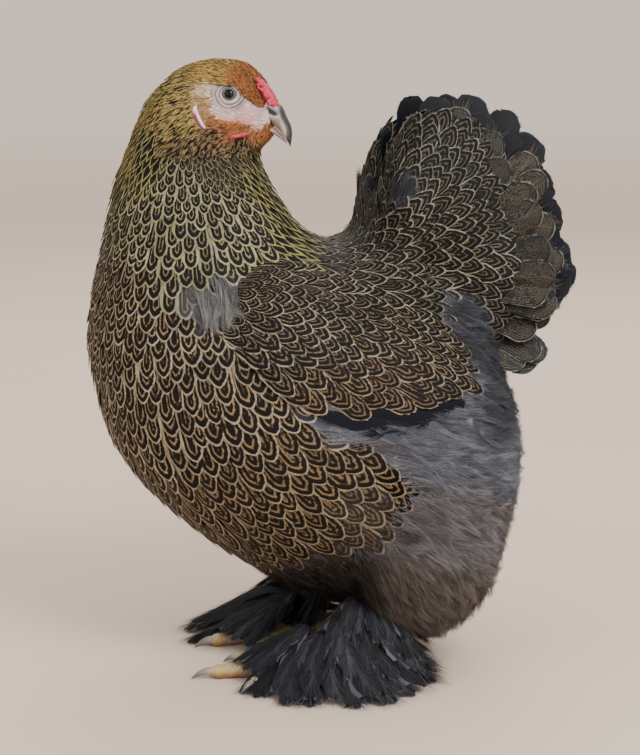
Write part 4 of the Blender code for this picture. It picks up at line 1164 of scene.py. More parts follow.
def make_skin():
    """One skin for head, neck, torso, thighs, shanks and the tail's root."""
    shell = shell_of(loft(body_rings(72, 3, 3, 9)))
    bmesh.ops.triangulate(shell, faces=shell.faces)
    mesh = bpy.data.meshes.new("skin")
    for _ in range(2):
        co = np.array([v.co for v in shell.verts])
        local = in_head(co)
        near = ((local[:, 0] > -14) & (local[:, 2] > -26) & (local[:, 2] < 20) & (np.abs(local[:, 1]) > 4))
        shell.verts.index_update()
        edges = [e for e in shell.edges if near[e.verts[0].index] and near[e.verts[1].index]]
        bmesh.ops.subdivide_edges(shell, edges=edges, cuts=1, use_grid_fill=True)
        bmesh.ops.triangulate(shell, faces=shell.faces)
    if shell.calc_volume(signed=True) < 0:
        bmesh.ops.reverse_faces(shell, faces=shell.faces)
    shell.to_mesh(mesh)
    shell.free()
    points, out = points_of(mesh), normals_of(mesh)
    up = points[:, 2]
    depth = 9.0 - 4.5 * ease(up, 270, 345) - 3.4 * ease(sagittal(points)[:, 0], -112, -98) * ease(up, 355, 385)
    points = points - out * depth[:, None] + out * (face_relief(points) + crown_rise(points))[:, None]
    set_points(mesh, points)
    others = [mesh_of(*tail_form(0.56, thickness=0.5))]
    for side, _ in SIDES:
        others.append(mesh_of(*thigh_form(side, 0.86)))
        hock, ankle = mirrored(HOCK, side), mirrored(ANKLE, side)
        path = [hock + (ankle - hock) * share for share in (-0.2, 0.1, 0.4, 0.7, 0.95)]
        others.append(mesh_of(*tube(path, (12, 11, 9.5, 8.5, 8))))
        centre, out = eye_seat(side)
        down = np.array((0, 0, -1.0))
        others.append(mesh_of(*ring_fold(centre + out * 4.2 + down * 0.3, out, (5.75, 5.25), 1.0)))
        others.append(mesh_of(*ring_fold(centre + out * 3.2 + down * 1.3, out, (8.2, 6.9), 0.95)))
        others.append(mesh_of(*ring_fold(centre + out * 2.0 + down * 2.3, out, (10.2, 8.1), 0.85)))
    mesh = boolean(mesh, others)
    hollows = [mesh_of(*ball(eye_seat(side)[0], (EYE_RADIUS + 0.12,) * 3)) for side, _ in SIDES]
    mesh = boolean(mesh, hollows, "DIFFERENCE")
    local = in_head(points_of(mesh))
    flat = local[:, (0, 2)]
    bare = ease(depth_inside(BARE_FACE, flat), -1.5, 0.5) * (local[:, 2] > -40)
    eye_gap = np.linalg.norm(flat - EYE_SPOT, axis=1)
    cheek = ease(eye_gap, 11, 19) * ease(-local[:, 2], 2, 13) * (1 - ease(local[:, 0], 20, 30))
    point_attribute(mesh, "bare", bare)
    point_attribute(mesh, "warm", np.clip(cheek, 0, 1))
    # The line attribute is painted shade: dark lines in the creases between the skin folds round the eye, a painted
    # shadow under the brow above the eye, and darkening wherever the face's relief sinks into hollows and wrinkles.
    low_gap = np.linalg.norm((flat - EYE_SPOT + (0, 1.2)) / (1, 0.9), axis=1)
    line = np.exp(-((low_gap - 7.4) / 0.5) ** 2) + 0.8 * np.exp(-((low_gap - 9.6) / 0.45) ** 2)
    line += 0.9 * ease(local[:, 2], 10.0, 11.6) * (eye_gap < 11)
    line = line * (np.abs(local[:, 1]) > 8) + np.clip(-face_relief(points_of(mesh)) * 1.2 - 0.2, 0, 0.6)
    point_attribute(mesh, "line", np.clip(line, 0, 1))
    points = points_of(mesh)
    looks = Guides(BODY_GUIDES + TAIL_GUIDES).at(points)[1][:, 4:]
    on_head = (local[:, 0] > -36) & (local[:, 2] > -34 + 0.2 * np.maximum(local[:, 0], 0))
    looks[on_head] = Guides(HEAD_GUIDES).at(points[on_head])[1][:, 4:]
    shank = (points[:, 2] < 84) & (np.abs(np.abs(points[:, 0]) - 46) < 22) & (np.abs(points[:, 1] - 8) < 38)
    looks[shank] = style_row("boot")
    for label, rows in (("coat_light", looks[:, :3]), ("coat_dark", looks[:, 3:6])):
        attribute = mesh.attributes.new(label, "FLOAT_COLOR", "POINT")
        attribute.data.foreach_set("color", np.hstack([rows, np.ones((len(rows), 1))]).astype(np.float32).ravel())
    flesh = ["torso", "neck", "head"]
    flesh += [f"{part}_{name}" for part in ("thigh",) for _, name in SIDES]
    return add_piece("skin", mesh, skin_material(), flesh)


def eye_seat(side):
    """The centre of an eye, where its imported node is, and the way it looks."""
    name = "right" if side > 0 else "left"
    return node_centre(f"eye_{name}"), gaze(side)


def make_eyes():
    colours = ((0.0, (2, 2, 4)), (0.27, (3, 3, 5)), (0.31, (48, 54, 58)), (0.41, (92, 102, 98)),
               (0.50, (66, 74, 74)), (0.56, (14, 14, 16)), (1.0, (20, 17, 17)))
    material = toned_material("eye", colours, 0.1, scale=900, bump=0.00003, coat=0.22, gloss=0.1)
    for side, name in ((1, "right"), (-1, "left")):
        centre, out = eye_seat(side)
        across = unit(np.cross(np.array((0, 0, 1.0)), out))
        axes = np.array((across, np.cross(out, across), out))
        points, faces = ball(centre, (EYE_RADIUS,) * 3, axes, 64, 48)
        angle = np.arccos(np.clip(unit(points - centre) @ out, -1, 1))
        points = points + np.outer(0.45 * np.exp(-(angle / 0.5) ** 2), out)
        mesh = mesh_of(points, faces)
        angle = np.arccos(np.clip(unit(points_of(mesh) - centre) @ out, -1, 1))
        point_attribute(mesh, "tone", angle / (math.pi / 2))
        add_piece(f"eyeball_{name}", mesh, material, [f"eye_{name}"])


BEAK_UPPER_ROWS = (
    (24, 5, 20, -17.5, 9.5), (34.5, 2.0, 28.5, -14, 8.6), (41.2, -3.0, 33.5, -15.4, 7.4),
    (44.7, -10.4, 38, -18.6, 5.6), (47.6, -16.4, 42, -23.2, 3.9), (48.3, -21.2, 44.4, -26.2, 2.9),
    (48.1, -26.0, 46.0, -28.8, 1.8), (47.3, -30.4, 46.8, -31.4, 0.7),
)
BEAK_LOWER_ROWS = (
    (18, -16, 20, -24, 8.0), (29, -14.8, 30, -21.6, 7.2), (35.5, -17.4, 36.2, -23.0, 5.6),
    (41, -22.6, 41.6, -26.8, 3.5), (44.4, -26.8, 44.8, -29.0, 1.5),
)


def beak_rings(rows, steps=7, count=40):
    """Rings of the bill, with how far along and how high round each point lies."""
    fine = rows_between(rows, steps)
    rings, tones = [], []
    for k, (top_f, top_u, low_f, low_u, half) in enumerate(fine):
        top, low = head_point(top_f, 0, top_u), head_point(low_f, 0, low_u)
        around = np.linspace(0, 2 * math.pi, count, endpoint=False)
        c, s = np.cos(around), np.sin(around)
        keel = 1 - 0.16 * np.abs(c) ** 3
        rings.append((top + low) / 2 + np.outer(c, (top - low) / 2) + np.outer(s * keel * half, HEAD_SIDE))
        tones.append(np.stack([np.full(count, k / (len(fine) - 1)), c], axis=1))
    return rings, np.vstack(tones)


def make_bill():
    """Both halves of the bill: pale horn at the mouth, slate along the ridge and the hooked tip."""
    colours = ((0.0, (188, 180, 174)), (0.2, (150, 128, 112)), (0.55, (78, 78, 86)), (1.0, (14, 16, 24)))
    material = toned_material("horn_bill", colours, 0.4, scale=420, stretch=(1, 1, 3.5), bump=0.00012, coat=0.12)
    for rows, name in ((BEAK_UPPER_ROWS, "beak_upper"), (BEAK_LOWER_ROWS, "beak_lower")):
        rings, spots = beak_rings(rows)
        upper = name == "beak_upper"
        points, faces = loft(rings)
        mesh = mesh_of(points, faces)
        cutters = []
        if upper:
            for side, _ in SIDES:
                tilt = unit(HEAD_FORWARD * 0.9 - np.array((0, 0, 0.44)))
                axes = (tilt, HEAD_SIDE * side, np.cross(tilt, HEAD_SIDE * side))
                cutters.append(mesh_of(*ball(head_point(35.0, side * 8.2, -7.0), (4.2, 2.4, 1.3), axes)))
            mesh = boolean(mesh, cutters, "DIFFERENCE")
        local = in_head(points_of(mesh))
        line = np.array([(f, u) for f, u, *_ in rows_between(rows, 6)])
        gap = np.linalg.norm(local[:, None, (0, 2)] - line[None], axis=2).min(axis=1)
        ridge = (0.9 - 0.9 * ease(gap, 1.6, 4.4)) * ease(local[:, 0], 38, 42) if upper else 0
        side_band = 0.24 * ease(local[:, 0], 29, 33) * ease(-local[:, 2], 9, 13) * (1 - ease(local[:, 0], 40, 44))
        tip = ease(local[:, 0] - 0.6 * local[:, 2], 57, 65) if upper else 0.36 * ease(local[:, 0], 30, 40)
        tip = np.maximum(tip, side_band)
        # Painted shade in the nostril's hollow: an oval round the cut nostril is toned dark.
        away = local[:, (0, 2)] - (35.6, -6.2)
        turned_away = np.stack([away @ (0.86, -0.51), away @ (0.51, 0.86)], axis=1)
        dark = 0.72 * (1 - ease(np.linalg.norm(turned_away / (5.0, 2.5), axis=1), 0.8, 1.15)) * upper
        point_attribute(mesh, "tone", np.clip(np.maximum(np.maximum(ridge, tip), dark), 0, 1))
        add_piece(f"horn_{name}", mesh, material, [name])


COMB_LINE = ((24, 18.2, 1.2), (26.6, 15.2, 2.0), (29.4, 12, 2.7), (32, 8, 3.1), (34.4, 4, 3.1), (36.6, 0, 2.4))


def make_comb():
    """The low pea comb: three rows of small beads, the middle one highest."""
    rng = np.random.default_rng(5)
    fine = curve_through(COMB_LINE, 3)
    spine = [head_point(f - 0.6, 3.6, u - 2.4) for f, u, _ in fine]
    body = mesh_of(*tube(spine, [r * 1.45 for _, _, r in fine], 20))
    beads = []
    for row, drop, size in ((0, 0.0, 0.72), (1, 1.5, 0.62), (-1, 1.5, 0.62), (1.75, 3.4, 0.5), (-1.75, 3.4, 0.5)):
        for k, (f, u, radius) in enumerate(fine):
            if abs(row) > 1 and not 2 < k < 14:
                continue
            jitter = rng.normal(0, 0.35, 3)
            centre = head_point(f + 1.5 - drop * 0.6, 3.8 + row * (3.2 - 0.06 * k), u - 1.6 - drop * 0.6) + jitter
            beads.append(mesh_of(*ball(centre, (radius * size * rng.uniform(0.75, 1.12),) * 3, None, 14, 9)))
    mesh = boolean(body, beads)
    material = simple_material("comb_red", (200, 58, 88), (152, 30, 56), 420, 0.42, 0.0003, 0.5, 0.18)
    add_piece("comb_beads", mesh, material, ["comb"])


def wrinkled(points, faces, depth, scale, seed):
    """A form with folds pressed into it by sine waves in seeded directions."""
    rng = np.random.default_rng(seed)
    mesh = mesh_of(points, faces)
    co, out = points_of(mesh), normals_of(mesh)
    folds = np.zeros(len(co))
    for _ in range(5):
        way = unit(rng.normal(0, 1, 3)) * scale * rng.uniform(0.7, 1.5)
        folds += np.sin(co @ way + rng.uniform(0, 6))
    set_points(mesh, co + out * (folds * depth / 5)[:, None])
    return mesh


def make_wattles(tree):
    material = simple_material("wattle_red", (206, 72, 80), (168, 40, 52), 380, 0.42, 0.0003, 0.5, 0.18)
    pale = toned_material("earlobe_skin", ((0.0, (228, 196, 204)), (0.5, (196, 128, 156)), (1.0, (108, 40, 78))), 0.42,
                          scale=420, bump=0.0002)
    up = np.array((0, 0, 1.0))
    for side, name in ((1, "right"), (-1, "left")):
        out = HEAD_SIDE * side
        spot = on_face(tree, side, 11.8, -23.2)
        tilted = unit(HEAD_FORWARD + up * 0.26)
        axes = (tilted, out, np.cross(tilted, out) * -side)
        core = ball(spot - up * 0.4 - out * 0.0, (10.4, 1.8, 1.35), axes, 48, 32)
        mesh = wrinkled(*core, 0.5, 1.5, 7)
        fold = ball(spot + up * 0.9 + out * 0.5 + HEAD_FORWARD * 2.0, (6.4, 1.2, 0.8), axes, 40, 24)
        mesh = boolean(mesh, [wrinkled(*fold, 0.45, 1.8, 8)])
        add_piece(f"wattle_fold_{name}", mesh, material, [f"wattle_{name}"])
        crescent = ((-13.8, -1.6, 1.0), (-13.2, -5.5, 1.7), (-11.2, -10.0, 1.9), (-8.6, -14.2, 1.7), (-6.2, -17.2, 1.0))
        fine = curve_through(crescent, 6)
        path = [on_face(tree, side, f, u) + out * 0.2 for f, u, _ in fine]
        mesh = wrinkled(*tube(path, [r * 0.52 for _, _, r in fine], 28), 0.2, 1.6, 9)
        under = [on_face(tree, side, f - 1.2, u - 1.0) - out * 0.4 for f, u, _ in fine]
        mesh = boolean(mesh, [wrinkled(*tube(under, [r * 0.72 for _, _, r in fine], 28), 0.2, 1.6, 10)])
        local = in_head(points_of(mesh))
        middle = np.interp(local[:, 2], (-17.2, -14.2, -10.0, -5.5, -1.6), (-6.2, -8.6, -11.2, -13.2, -13.8))
        point_attribute(mesh, "tone", ease(middle - local[:, 0], 0.2, 1.1) * ease(-local[:, 2], 4, 9))
        add_piece(f"earlobe_fold_{name}", mesh, pale, [f"earlobe_{name}"])


def on_face(tree, side, forward, up):
    """The spot on the head's skin beside a point of its middle plane."""
    start = head_point(forward, side * 60, up)
    hit = tree.ray_cast(Vector(start), Vector(-HEAD_SIDE * side))[0]
    return np.array(hit if hit is not None else head_point(forward, side * 15, up))


# Feet

def toe_heading(side, turn):
    angle = math.radians(turn)
    return np.array((side * math.sin(angle), -math.cos(angle), 0.0))


def scaled_tube(path, radii, sides=26, pitch=3.0):
    """A toe: a tube with overlapping scutes across its top and pads below, flat on the floor."""
    path = np.asarray(path, float)
    length = np.concatenate([[0], np.cumsum(np.linalg.norm(np.diff(path, axis=0), axis=1))])
    steps = int(length[-1] / 0.45)
    s = np.linspace(0, length[-1], steps)
    fine = np.stack([np.interp(s, length, path[:, k]) for k in range(3)], axis=1)
    radius = np.interp(s, length, radii)
    ahead = unit(np.gradient(fine, axis=0))
    side = unit(np.cross(ahead, (0, 0, 1.0)))
    up = np.cross(side, ahead)
    around = np.linspace(0, 2 * math.pi, sides, endpoint=False)
    top = ease(np.sin(around), -0.2, 0.5)
    rings = []
    for k in range(steps):
        plate = (s[k] / pitch) % 1.0
        ridge = 0.5 * plate - 0.75 * ease(plate, 0.82, 1.0)
        pad = 0.3 * math.sin(s[k] * 2 * math.pi / 9.0)
        grow = radius[k] + top * ridge * 0.9 + (1 - top) * pad
        ring = fine[k] + np.outer(np.cos(around) * grow, side[k]) + np.outer(np.sin(around) * grow, up[k])
        ring[:, 2] = np.maximum(ring[:, 2], 0.12)
        rings.append(ring)
    return loft(rings)


def make_feet():
    """Scaled toes, their claws, and the ankle, mostly under the foot feathers."""
    n_skin = toned_material("toe_skin", ((0.0, (128, 88, 60)), (0.4, (150, 124, 80)), (1.0, (176, 156, 110))),
                            0.55, scale=500, bump=0.0002)
    claw_horn = toned_material("horn_claw", ((0.0, (170, 158, 142)), (0.5, (120, 112, 106)), (1.0, (70, 66, 66))),
                               0.35, scale=300, bump=0.0001, coat=0.2)
    for side, name in SIDES:
        root = mirrored((ANKLE[0], ANKLE[1], TOE_RADIUS), side)
        ankle = mirrored(ANKLE, side)
        toes = []
        for toe, (turn, length, claw) in TOES.items():
            heading = toe_heading(side, turn)
            path = [root + heading * length * share + np.array((0, 0, rise)) for share, rise in
                    ((0.0, 1.0), (0.3, -0.6), (0.62, -1.2), (0.94, -1.4), (1.0, -1.6))]
            toes.append(mesh_of(*scaled_tube(path, [TOE_RADIUS * k for k in (1.05, 0.98, 0.92, 0.8, 0.5)])))
            start = root + heading * (length - 3.0)
            lifts = ((0.0, -0.8), (0.3, -0.5), (0.55, -1.2), (0.8, -2.9), (1.0, -4.9))
            path = [start + heading * (claw + 1.5) * share + np.array((0, 0, rise)) for share, rise in lifts]
            fine = curve_through([(*p, r) for p, r in zip(path, (3.1, 2.8, 2.2, 1.3, 0.35))], 6)
            points, faces = tube(fine[:, :3], fine[:, 3], 20)
            points[:, 2] = np.maximum(points[:, 2], 0.12)
            mesh = mesh_of(points, faces)
            co = points_of(mesh)
            point_attribute(mesh, "tone", np.clip(((co - start) @ heading) / (claw + 1.5), 0, 1))
            add_piece(f"horn_claw_{toe}_{name}", mesh, claw_horn, [f"claw_{toe}_{name}"])
        centre = ankle + np.array((0, 0, -4.5))
        points, faces = ball(centre, (10.5, 11.5, 10.0))
        points[:, 2] = np.maximum(points[:, 2], 0.12)
        mesh = boolean(mesh_of(points, faces), toes)
        # Painted shade: the toes and ankle are toned darker towards the floor.
        point_attribute(mesh, "tone", ease(points_of(mesh)[:, 2], 1.0, 9.0))
        add_piece(f"toes_{name}", mesh, n_skin, [f"foot_{name}"])


# The coat

def body_look(guides, points, rng, spread=0.08):
    """The lie, sizes and looks of feathers at points, each varied a little."""
    flow, values = guides.at(points)
    count = len(points)
    look = values[:, 4:].copy()
    shade = rng.normal(1, spread, (count, 1))
    look[:, :3] *= np.clip(shade + rng.normal(0, 0.03, (count, 1)), 0.7, 1.3)
    look[:, 6] *= rng.uniform(0.85, 1.15, count)
    look[:, 7] *= rng.uniform(0.9, 1.12, count)
    return flow, values[:, 0] * rng.uniform(0.92, 1.08, count), values[:, 1] * rng.uniform(0.92, 1.08, count), \
        values[:, 3], look


# The folded wing, as shares of its own outline.
WING_MIDDLE, WING_HALF_LENGTH, WING_HALF_WIDTH = 108, 90, 46
WING_LOW_EDGE = ((18, 60, 90, 116, 141, 164, 190), (-26, -46, -49, -40, -26, -9.5, 10))


def wing_flat(points):
    """(along, across) of points beside the folded wing."""
    angle = math.radians(WING_SLOPE)
    y, z = points[:, 1] - WING_ORIGIN[0], points[:, 2] - WING_ORIGIN[1]
    return np.stack([y * math.cos(angle) + z * math.sin(angle), -y * math.sin(angle) + z * math.cos(angle)], axis=1)


def wing_inside(flat):
    """Above 0 inside the folded wing's outline, up to 1 along its middle."""
    t = np.clip(np.abs(flat[:, 0] - WING_MIDDLE) / WING_HALF_LENGTH, 0, 1)
    half = WING_HALF_WIDTH * np.sqrt(1 - t ** 4) + 1e-6
    low = np.interp(flat[:, 0], *WING_LOW_EDGE)
    return np.minimum(1 - flat[:, 1] / half, (flat[:, 1] - low) / 40) - (t >= 1)


def wing_covered(points):
    """Where the folded wing hides the body: not under its front and top edges, which the body covers."""
    flat = wing_flat(points)
    flat = flat - np.stack([20 * (1 - ease(flat[:, 0], 60, 130)), -8 * ease(flat[:, 1], 0, 20)], axis=1)
    return wing_inside(flat) > 0.4


def wing_height(flat):
    """How far the plumage of the folded wing stands out from the body's side."""
    rise = 9.0 * (1 - (np.abs(flat[:, 1]) / 60) ** 2) * (1 - 0.62 * flat[:, 0] / 190) + 3.0
    return rise * ease(flat[:, 0], -8, 42) * (1 - 0.8 * ease(flat[:, 1], 14, 44)) - 1.6


def body_regions(points):
    """A region's name for each point, so that each piece of the coat stays small."""
    flat = sagittal(points)
    names = np.full(len(points), "back", dtype=object)
    names[flat[:, 1] < 262] = "flank"
    names[(flat[:, 0] < -28) & (flat[:, 1] < 300)] = "breast"
    names[(flat[:, 1] >= 290) & (flat[:, 0] < -8)] = "neck"
    reach = np.linalg.norm(points[:, 1:] - TAIL_ROOT[1:], axis=1)
    names[(points[:, 1] > 58) & (points[:, 2] > 230) & (reach > 22)] = "tail"
    names[(flat[:, 1] < 212) & (flat[:, 0] > 22)] = "fluff"
    names[(flat[:, 1] < 212) & (flat[:, 0] > 66)] = "fluff_rear"
    return names


def make_body_coat(envelope, tree):
    """Contour feathers over neck, breast, back, flanks and tail, and soft ones behind and below."""
    guides = Guides(BODY_GUIDES + TAIL_GUIDES)

    def spacing(points):
        return guides.at(points)[1][:, 2] * 1.0

    def keep(points, outs):
        local = in_head(points)
        head = (local[:, 0] > -36) & (local[:, 2] > -34 + 0.2 * np.maximum(local[:, 0], 0))
        wing = (np.abs(points[:, 0]) > 40) & wing_covered(points) & (np.abs(outs[:, 0]) > 0.4)
        return ~head & ~wing

    spots, outs = spread_points(envelope, 60000, spacing, keep, 4)
    rng = np.random.default_rng(8)
    flow, half, length, soft, look = body_look(guides, spots, rng)
    faded = 0.9 * ease(soft, 0.3, 0.5)[:, None]
    look[:, :3] = look[:, :3] * (1 - faded) + look[:, 3:6] * 1.4 * faded

    def lie(points):
        return flow_vectors(points, guides.at(points)[0])

    paths, normals = trails(tree, spots, outs, length, lie)
    regions = body_regions(spots)
    roots = body_unwrap(paths[:, 0])
    feather = plumage_material("plumage_pencilled")
    loose = plumage_material("plumage_soft", 0.85, 0.06, 0.2)
    for region in sorted(set(regions)):
        for side, name in SIDES:
            here = (regions == region) & (spots[:, 0] * side >= 0)
            if not here.any():
                continue
            build = Build()
            patch = patch_sizes(roots[here])
            plume = Plume(paths[here], normals[here], half[here], look[here], (-3.4, 0.2), 0.14, seed=11)
            soft_here = soft[here]
            firm, fluffy = soft_here < 0.46, soft_here > 0.3
            if firm.any():
                part = subset(plume, firm)
                add_vanes(build, part, roots[here][firm], patch[firm], 5, 4, 6, 0.35, 0.04)
                add_fringe(build, part, roots[here][firm], np.full(firm.sum(), 0.003))
            if (~firm).any():
                part = subset(plume, ~firm)
                part.half = part.half * 0.55
                add_vanes(build, part, roots[here][~firm], patch[~firm], 3, 3, 4, 0.3, 0.12)
            if fluffy.any():
                add_barbs(build, subset(plume, fluffy), roots[here][fluffy], np.full(fluffy.sum(), 0.003), 16)
            mesh = build.mesh(f"coat_{region}_{name}")
            material = loose if region.startswith("fluff") else feather
            add_piece(mesh.name, mesh, material)


FUR_CANDIDATES = 500000


def make_fur(envelope, tree):
    """Loose hair-like barbs over the soft parts: flanks under the wing, thighs, rear and belly."""
    guides = Guides(BODY_GUIDES + TAIL_GUIDES)
    rng = np.random.default_rng(71)

    def keep(points, outs):
        near = (points[:, 1] > -110) & (points[:, 2] < 420) & ~((points[:, 2] > 300) & (points[:, 1] < 0))
        chance = np.zeros(len(points))
        soft = guides.at(points[near])[1][:, 3]
        chance[near] = ease(soft, 0.4, 0.78)
        beside = (np.abs(points[:, 0]) > 40) & (np.abs(outs[:, 0]) > 0.4)
        flat = wing_flat(points)
        under = (wing_inside(flat) > -0.2) & (flat[:, 0] > 70) & (flat[:, 1] < 0)
        covered = beside & (wing_covered(points) | under)
        return (rng.random(len(points)) < chance) & ~covered

    spots, outs = scatter(envelope, FUR_CANDIDATES, keep, 72)
    flow, half, length, soft, look = body_look(guides, spots, rng, 0.15)
    clump, clump_rise = clumped(spots, 34, rng)
    flow += rng.normal(0, 9, len(flow)) + rng.normal(0, 16, len(spots))[clump]
    mixed = rng.random((len(spots), 1)) ** 1.3
    look[:, :3] = look[:, :3] * (1 - mixed * 0.8) + look[:, 3:6] * mixed * 0.8
    look[:, :6] *= rng.uniform(0.55, 1.5, (len(spots), 1)) * rng.uniform(0.6, 1.4, len(spots))[clump][:, None]
    length = rng.uniform(10, 22, len(spots))
    way = flow_vectors(spots, flow)
    way = unit(way - outs * (way * outs).sum(axis=1, keepdims=True))
    back = spots - way * length[:, None]
    found = [tree.find_nearest(Vector(point)) for point in back]
    start = np.array([hit[0] for hit in found])
    start_out = np.array([hit[1] for hit in found])
    rise = rng.uniform(0.2, 2.2, len(spots)) + clump_rise
    gather = (spots[clump] - spots) * rng.uniform(0.2, 0.75, (len(spots), 1))
    tips = spots + gather + outs * rise[:, None] + way * rng.uniform(0, 6, (len(spots), 1))
    paths = np.stack([start - start_out * 1.5, tips], axis=1)
    normals = np.stack([start_out, outs], axis=1)
    roots = body_unwrap(start)
    material = bpy.data.materials["plumage_soft"]
    for side, name in SIDES:
        for part, mask in (("low", spots[:, 2] < 128), ("high", spots[:, 2] >= 128)):
            here = mask & (spots[:, 0] * side >= 0)
            count = here.sum()
            build = Build()
            plume = Plume(paths[here], normals[here], 1.0, look[here], (0, 0), 0.0, seed=73)
            zero = np.zeros((count, 1))
            nodes = ((zero, zero, zero), (zero, zero + 1, zero))
            add_spikes(build, plume, roots[here], np.full(count, 0.003), nodes, 0.26)
            mesh = build.mesh(f"coat_fur_{part}_{name}")
            add_piece(mesh.name, mesh, material)


def clumped(spots, each, rng):
    """For each spot the nearest of every each-th spot, and how far that clump stands up."""
    centres = np.arange(0, len(spots), each)
    near = KDTree(len(centres))
    for index in centres:
        near.insert(Vector(spots[index]), int(index))
    near.balance()
    clump = np.array([near.find(Vector(spot))[1] for spot in spots])
    return clump, (5.2 * rng.random(len(spots)) ** 1.8)[clump]


def subset(plume, mask):
    """The feathers of a plume that a mask picks."""
    made = Plume.__new__(Plume)
    made.arch = plume.arch
    for key in ("paths", "outs", "half", "length", "look", "roll", "seed", "start", "power"):
        setattr(made, key, getattr(plume, key)[mask])
    return made


WING_GUIDES = [
    (24, 18, 4, 5.2, 30, 8.4, 0.1, "wing"),
    (22, -10, 34, 5.6, 28, 9.0, 0.1, "wing"),
    (52, 32, 10, 6.2, 36, 9.8, 0.1, "wing"),
    (50, 2, 28, 6.8, 36, 10.6, 0.1, "wing"),
    (52, -28, 44, 7.6, 38, 11.8, 0.1, "wing"),
    (94, 36, 20, 6.8, 42, 10.6, 0.1, "wing"),
    (94, 4, 34, 7.8, 44, 12.0, 0.1, "wing"),
    (92, -32, 42, 8.8, 46, 13.2, 0.1, "wing_low"),
    (140, 28, 36, 7.4, 48, 11.6, 0.1, "wing"),
    (134, -20, 28, 7.8, 50, 11.6, 0.1, "wing_low"),
    (140, -4, 30, 8.0, 52, 12.0, 0.1, "wing_low"),
    (178, 12, 26, 7.0, 54, 10.6, 0.1, "wing"),
]


def wing_sheet(side, tree):
    """The outer surface of a folded wing's plumage, over the body's side."""
    along, across = np.meshgrid(np.linspace(-14, 200, 60), np.linspace(-50, 50, 34), indexing="ij")
    flat = np.stack([along.ravel(), across.ravel()], axis=1)
    angle = math.radians(WING_SLOPE)
    y = WING_ORIGIN[0] + math.cos(angle) * flat[:, 0] - math.sin(angle) * flat[:, 1]
    z = WING_ORIGIN[1] + math.sin(angle) * flat[:, 0] + math.cos(angle) * flat[:, 1]
    points = []
    for yy, zz, rise in zip(y, z, wing_height(flat)):
        hit = tree.ray_cast(Vector((side * 300, yy, zz)), Vector((-side, 0, 0)))[0]
        x = hit[0] if hit is not None else side * 60
        points.append((x + side * rise, yy, zz))
    rows, columns = along.shape
    faces = [(r * columns + c, (r + 1) * columns + c, (r + 1) * columns + c + 1, r * columns + c + 1)
             for r in range(rows - 1) for c in range(columns - 1)]
    if side < 0:
        faces = [face[::-1] for face in faces]
    mesh = bpy.data.meshes.new("wing_sheet")
    mesh.from_pydata(points, [], faces)
    mesh.update()
    return mesh


PRIMARIES = ((62, -44, 136, -39, 8.5), (70, -46, 150, -30, 8.0), (80, -44, 163, -20, 7.5), (90, -40, 175, -9, 7.0),
             (100, -34, 185, 2, 6.5))


def make_wings(body_tree):
    """Each folded wing: coverts and secondaries in tiers, with dark primaries showing under them."""
    guides = Guides(WING_GUIDES, wing_flat)
    feather = bpy.data.materials["plumage_pencilled"]
    for side, name in SIDES:
        sheet = wing_sheet(side, body_tree)
        tree = tree_of(sheet)

        def keep(points, outs):
            return wing_inside(wing_flat(points)) > 0.04

        def spacing(points):
            return guides.at(points)[1][:, 2] * 1.0

        def lie(points):
            angle = np.radians(guides.at(points)[0])
            return np.stack([np.zeros(len(points)), np.cos(angle), -np.sin(angle)], axis=1)

        spots, outs = spread_points(sheet, 16000, spacing, keep, 21)
        outs = outs * np.sign(outs[:, :1] * side)
        rng = np.random.default_rng(22)
        flow, half, length, soft, look = body_look(guides, spots, rng)
        paths, normals = trails(tree, spots, outs, length, lie)
        roots = wing_flat(paths[:, 0])
        root_uv = np.clip((roots - (-60, -60)) / (280, 120), 0.02, 0.98)
        build = Build()
        plume = Plume(paths, normals, half, look, (-3.6, 0.6), 0.14, seed=23)
        add_vanes(build, plume, root_uv, patch_sizes(root_uv), 7, 5, 7, 0.4)
        add_fringe(build, plume, root_uv, np.full(len(paths), 0.003))
        angle = math.radians(WING_SLOPE)
        ends, start_flat = [], []
        for a0, c0, a1, c1, width in PRIMARIES:
            share = np.linspace(0, 1, 6)[:, None]
            line = np.array((a0, c0)) * (1 - share) + np.array((a1, c1)) * share
            y = WING_ORIGIN[0] + math.cos(angle) * line[:, 0] - math.sin(angle) * line[:, 1]
            z = WING_ORIGIN[1] + math.sin(angle) * line[:, 0] + math.cos(angle) * line[:, 1]
            path = [tree.find_nearest(Vector((side * 110, yy, zz)))[0] for yy, zz in zip(y, z)]
            ends.append(np.array(path) - np.array((side * 1.8, 0, 0)))
            start_flat.append((a0, c0))
        look = np.repeat(style_row("black_painted_sheen")[None], len(ends), axis=0)
        plume = Plume(np.array(ends), np.tile(np.array((side, 0, 0.1)), (len(ends), 6, 1)),
                      [p[4] for p in PRIMARIES], look, (0, 0), seed=25)
        root_uv = np.clip((np.array(start_flat, float) - (-60, -60)) / (280, 120), 0.02, 0.98)
        add_vanes(build, plume, root_uv, np.full(len(ends), 0.01), 7, 8, 7)
        add_piece(f"coat_wing_{name}", build.mesh(f"coat_wing_{name}"), feather, [f"wing_{name}"])


# The main tail feathers' tips on each side: heading, reach from the tail's root, and half width.
TAIL_TIPS = (
    (134, 46, 10), (122, 58, 11), (108, 74, 12), (97, 104, 13), (86, 129, 15), (74, 134, 15), (62, 134, 15),
    (51, 127, 15), (40, 117, 14), (29, 107, 13), (19, 99, 12), (9, 103, 13), (1, 104, 13), (-11, 93, 11),
    (-23, 90, 11), (-34, 103, 12), (-44, 99, 12),
)


def fan_points(heading, reach, side):
    angle = np.radians(heading)
    return TAIL_ROOT + np.stack([side, reach * np.cos(angle), reach * np.sin(angle)], axis=-1)


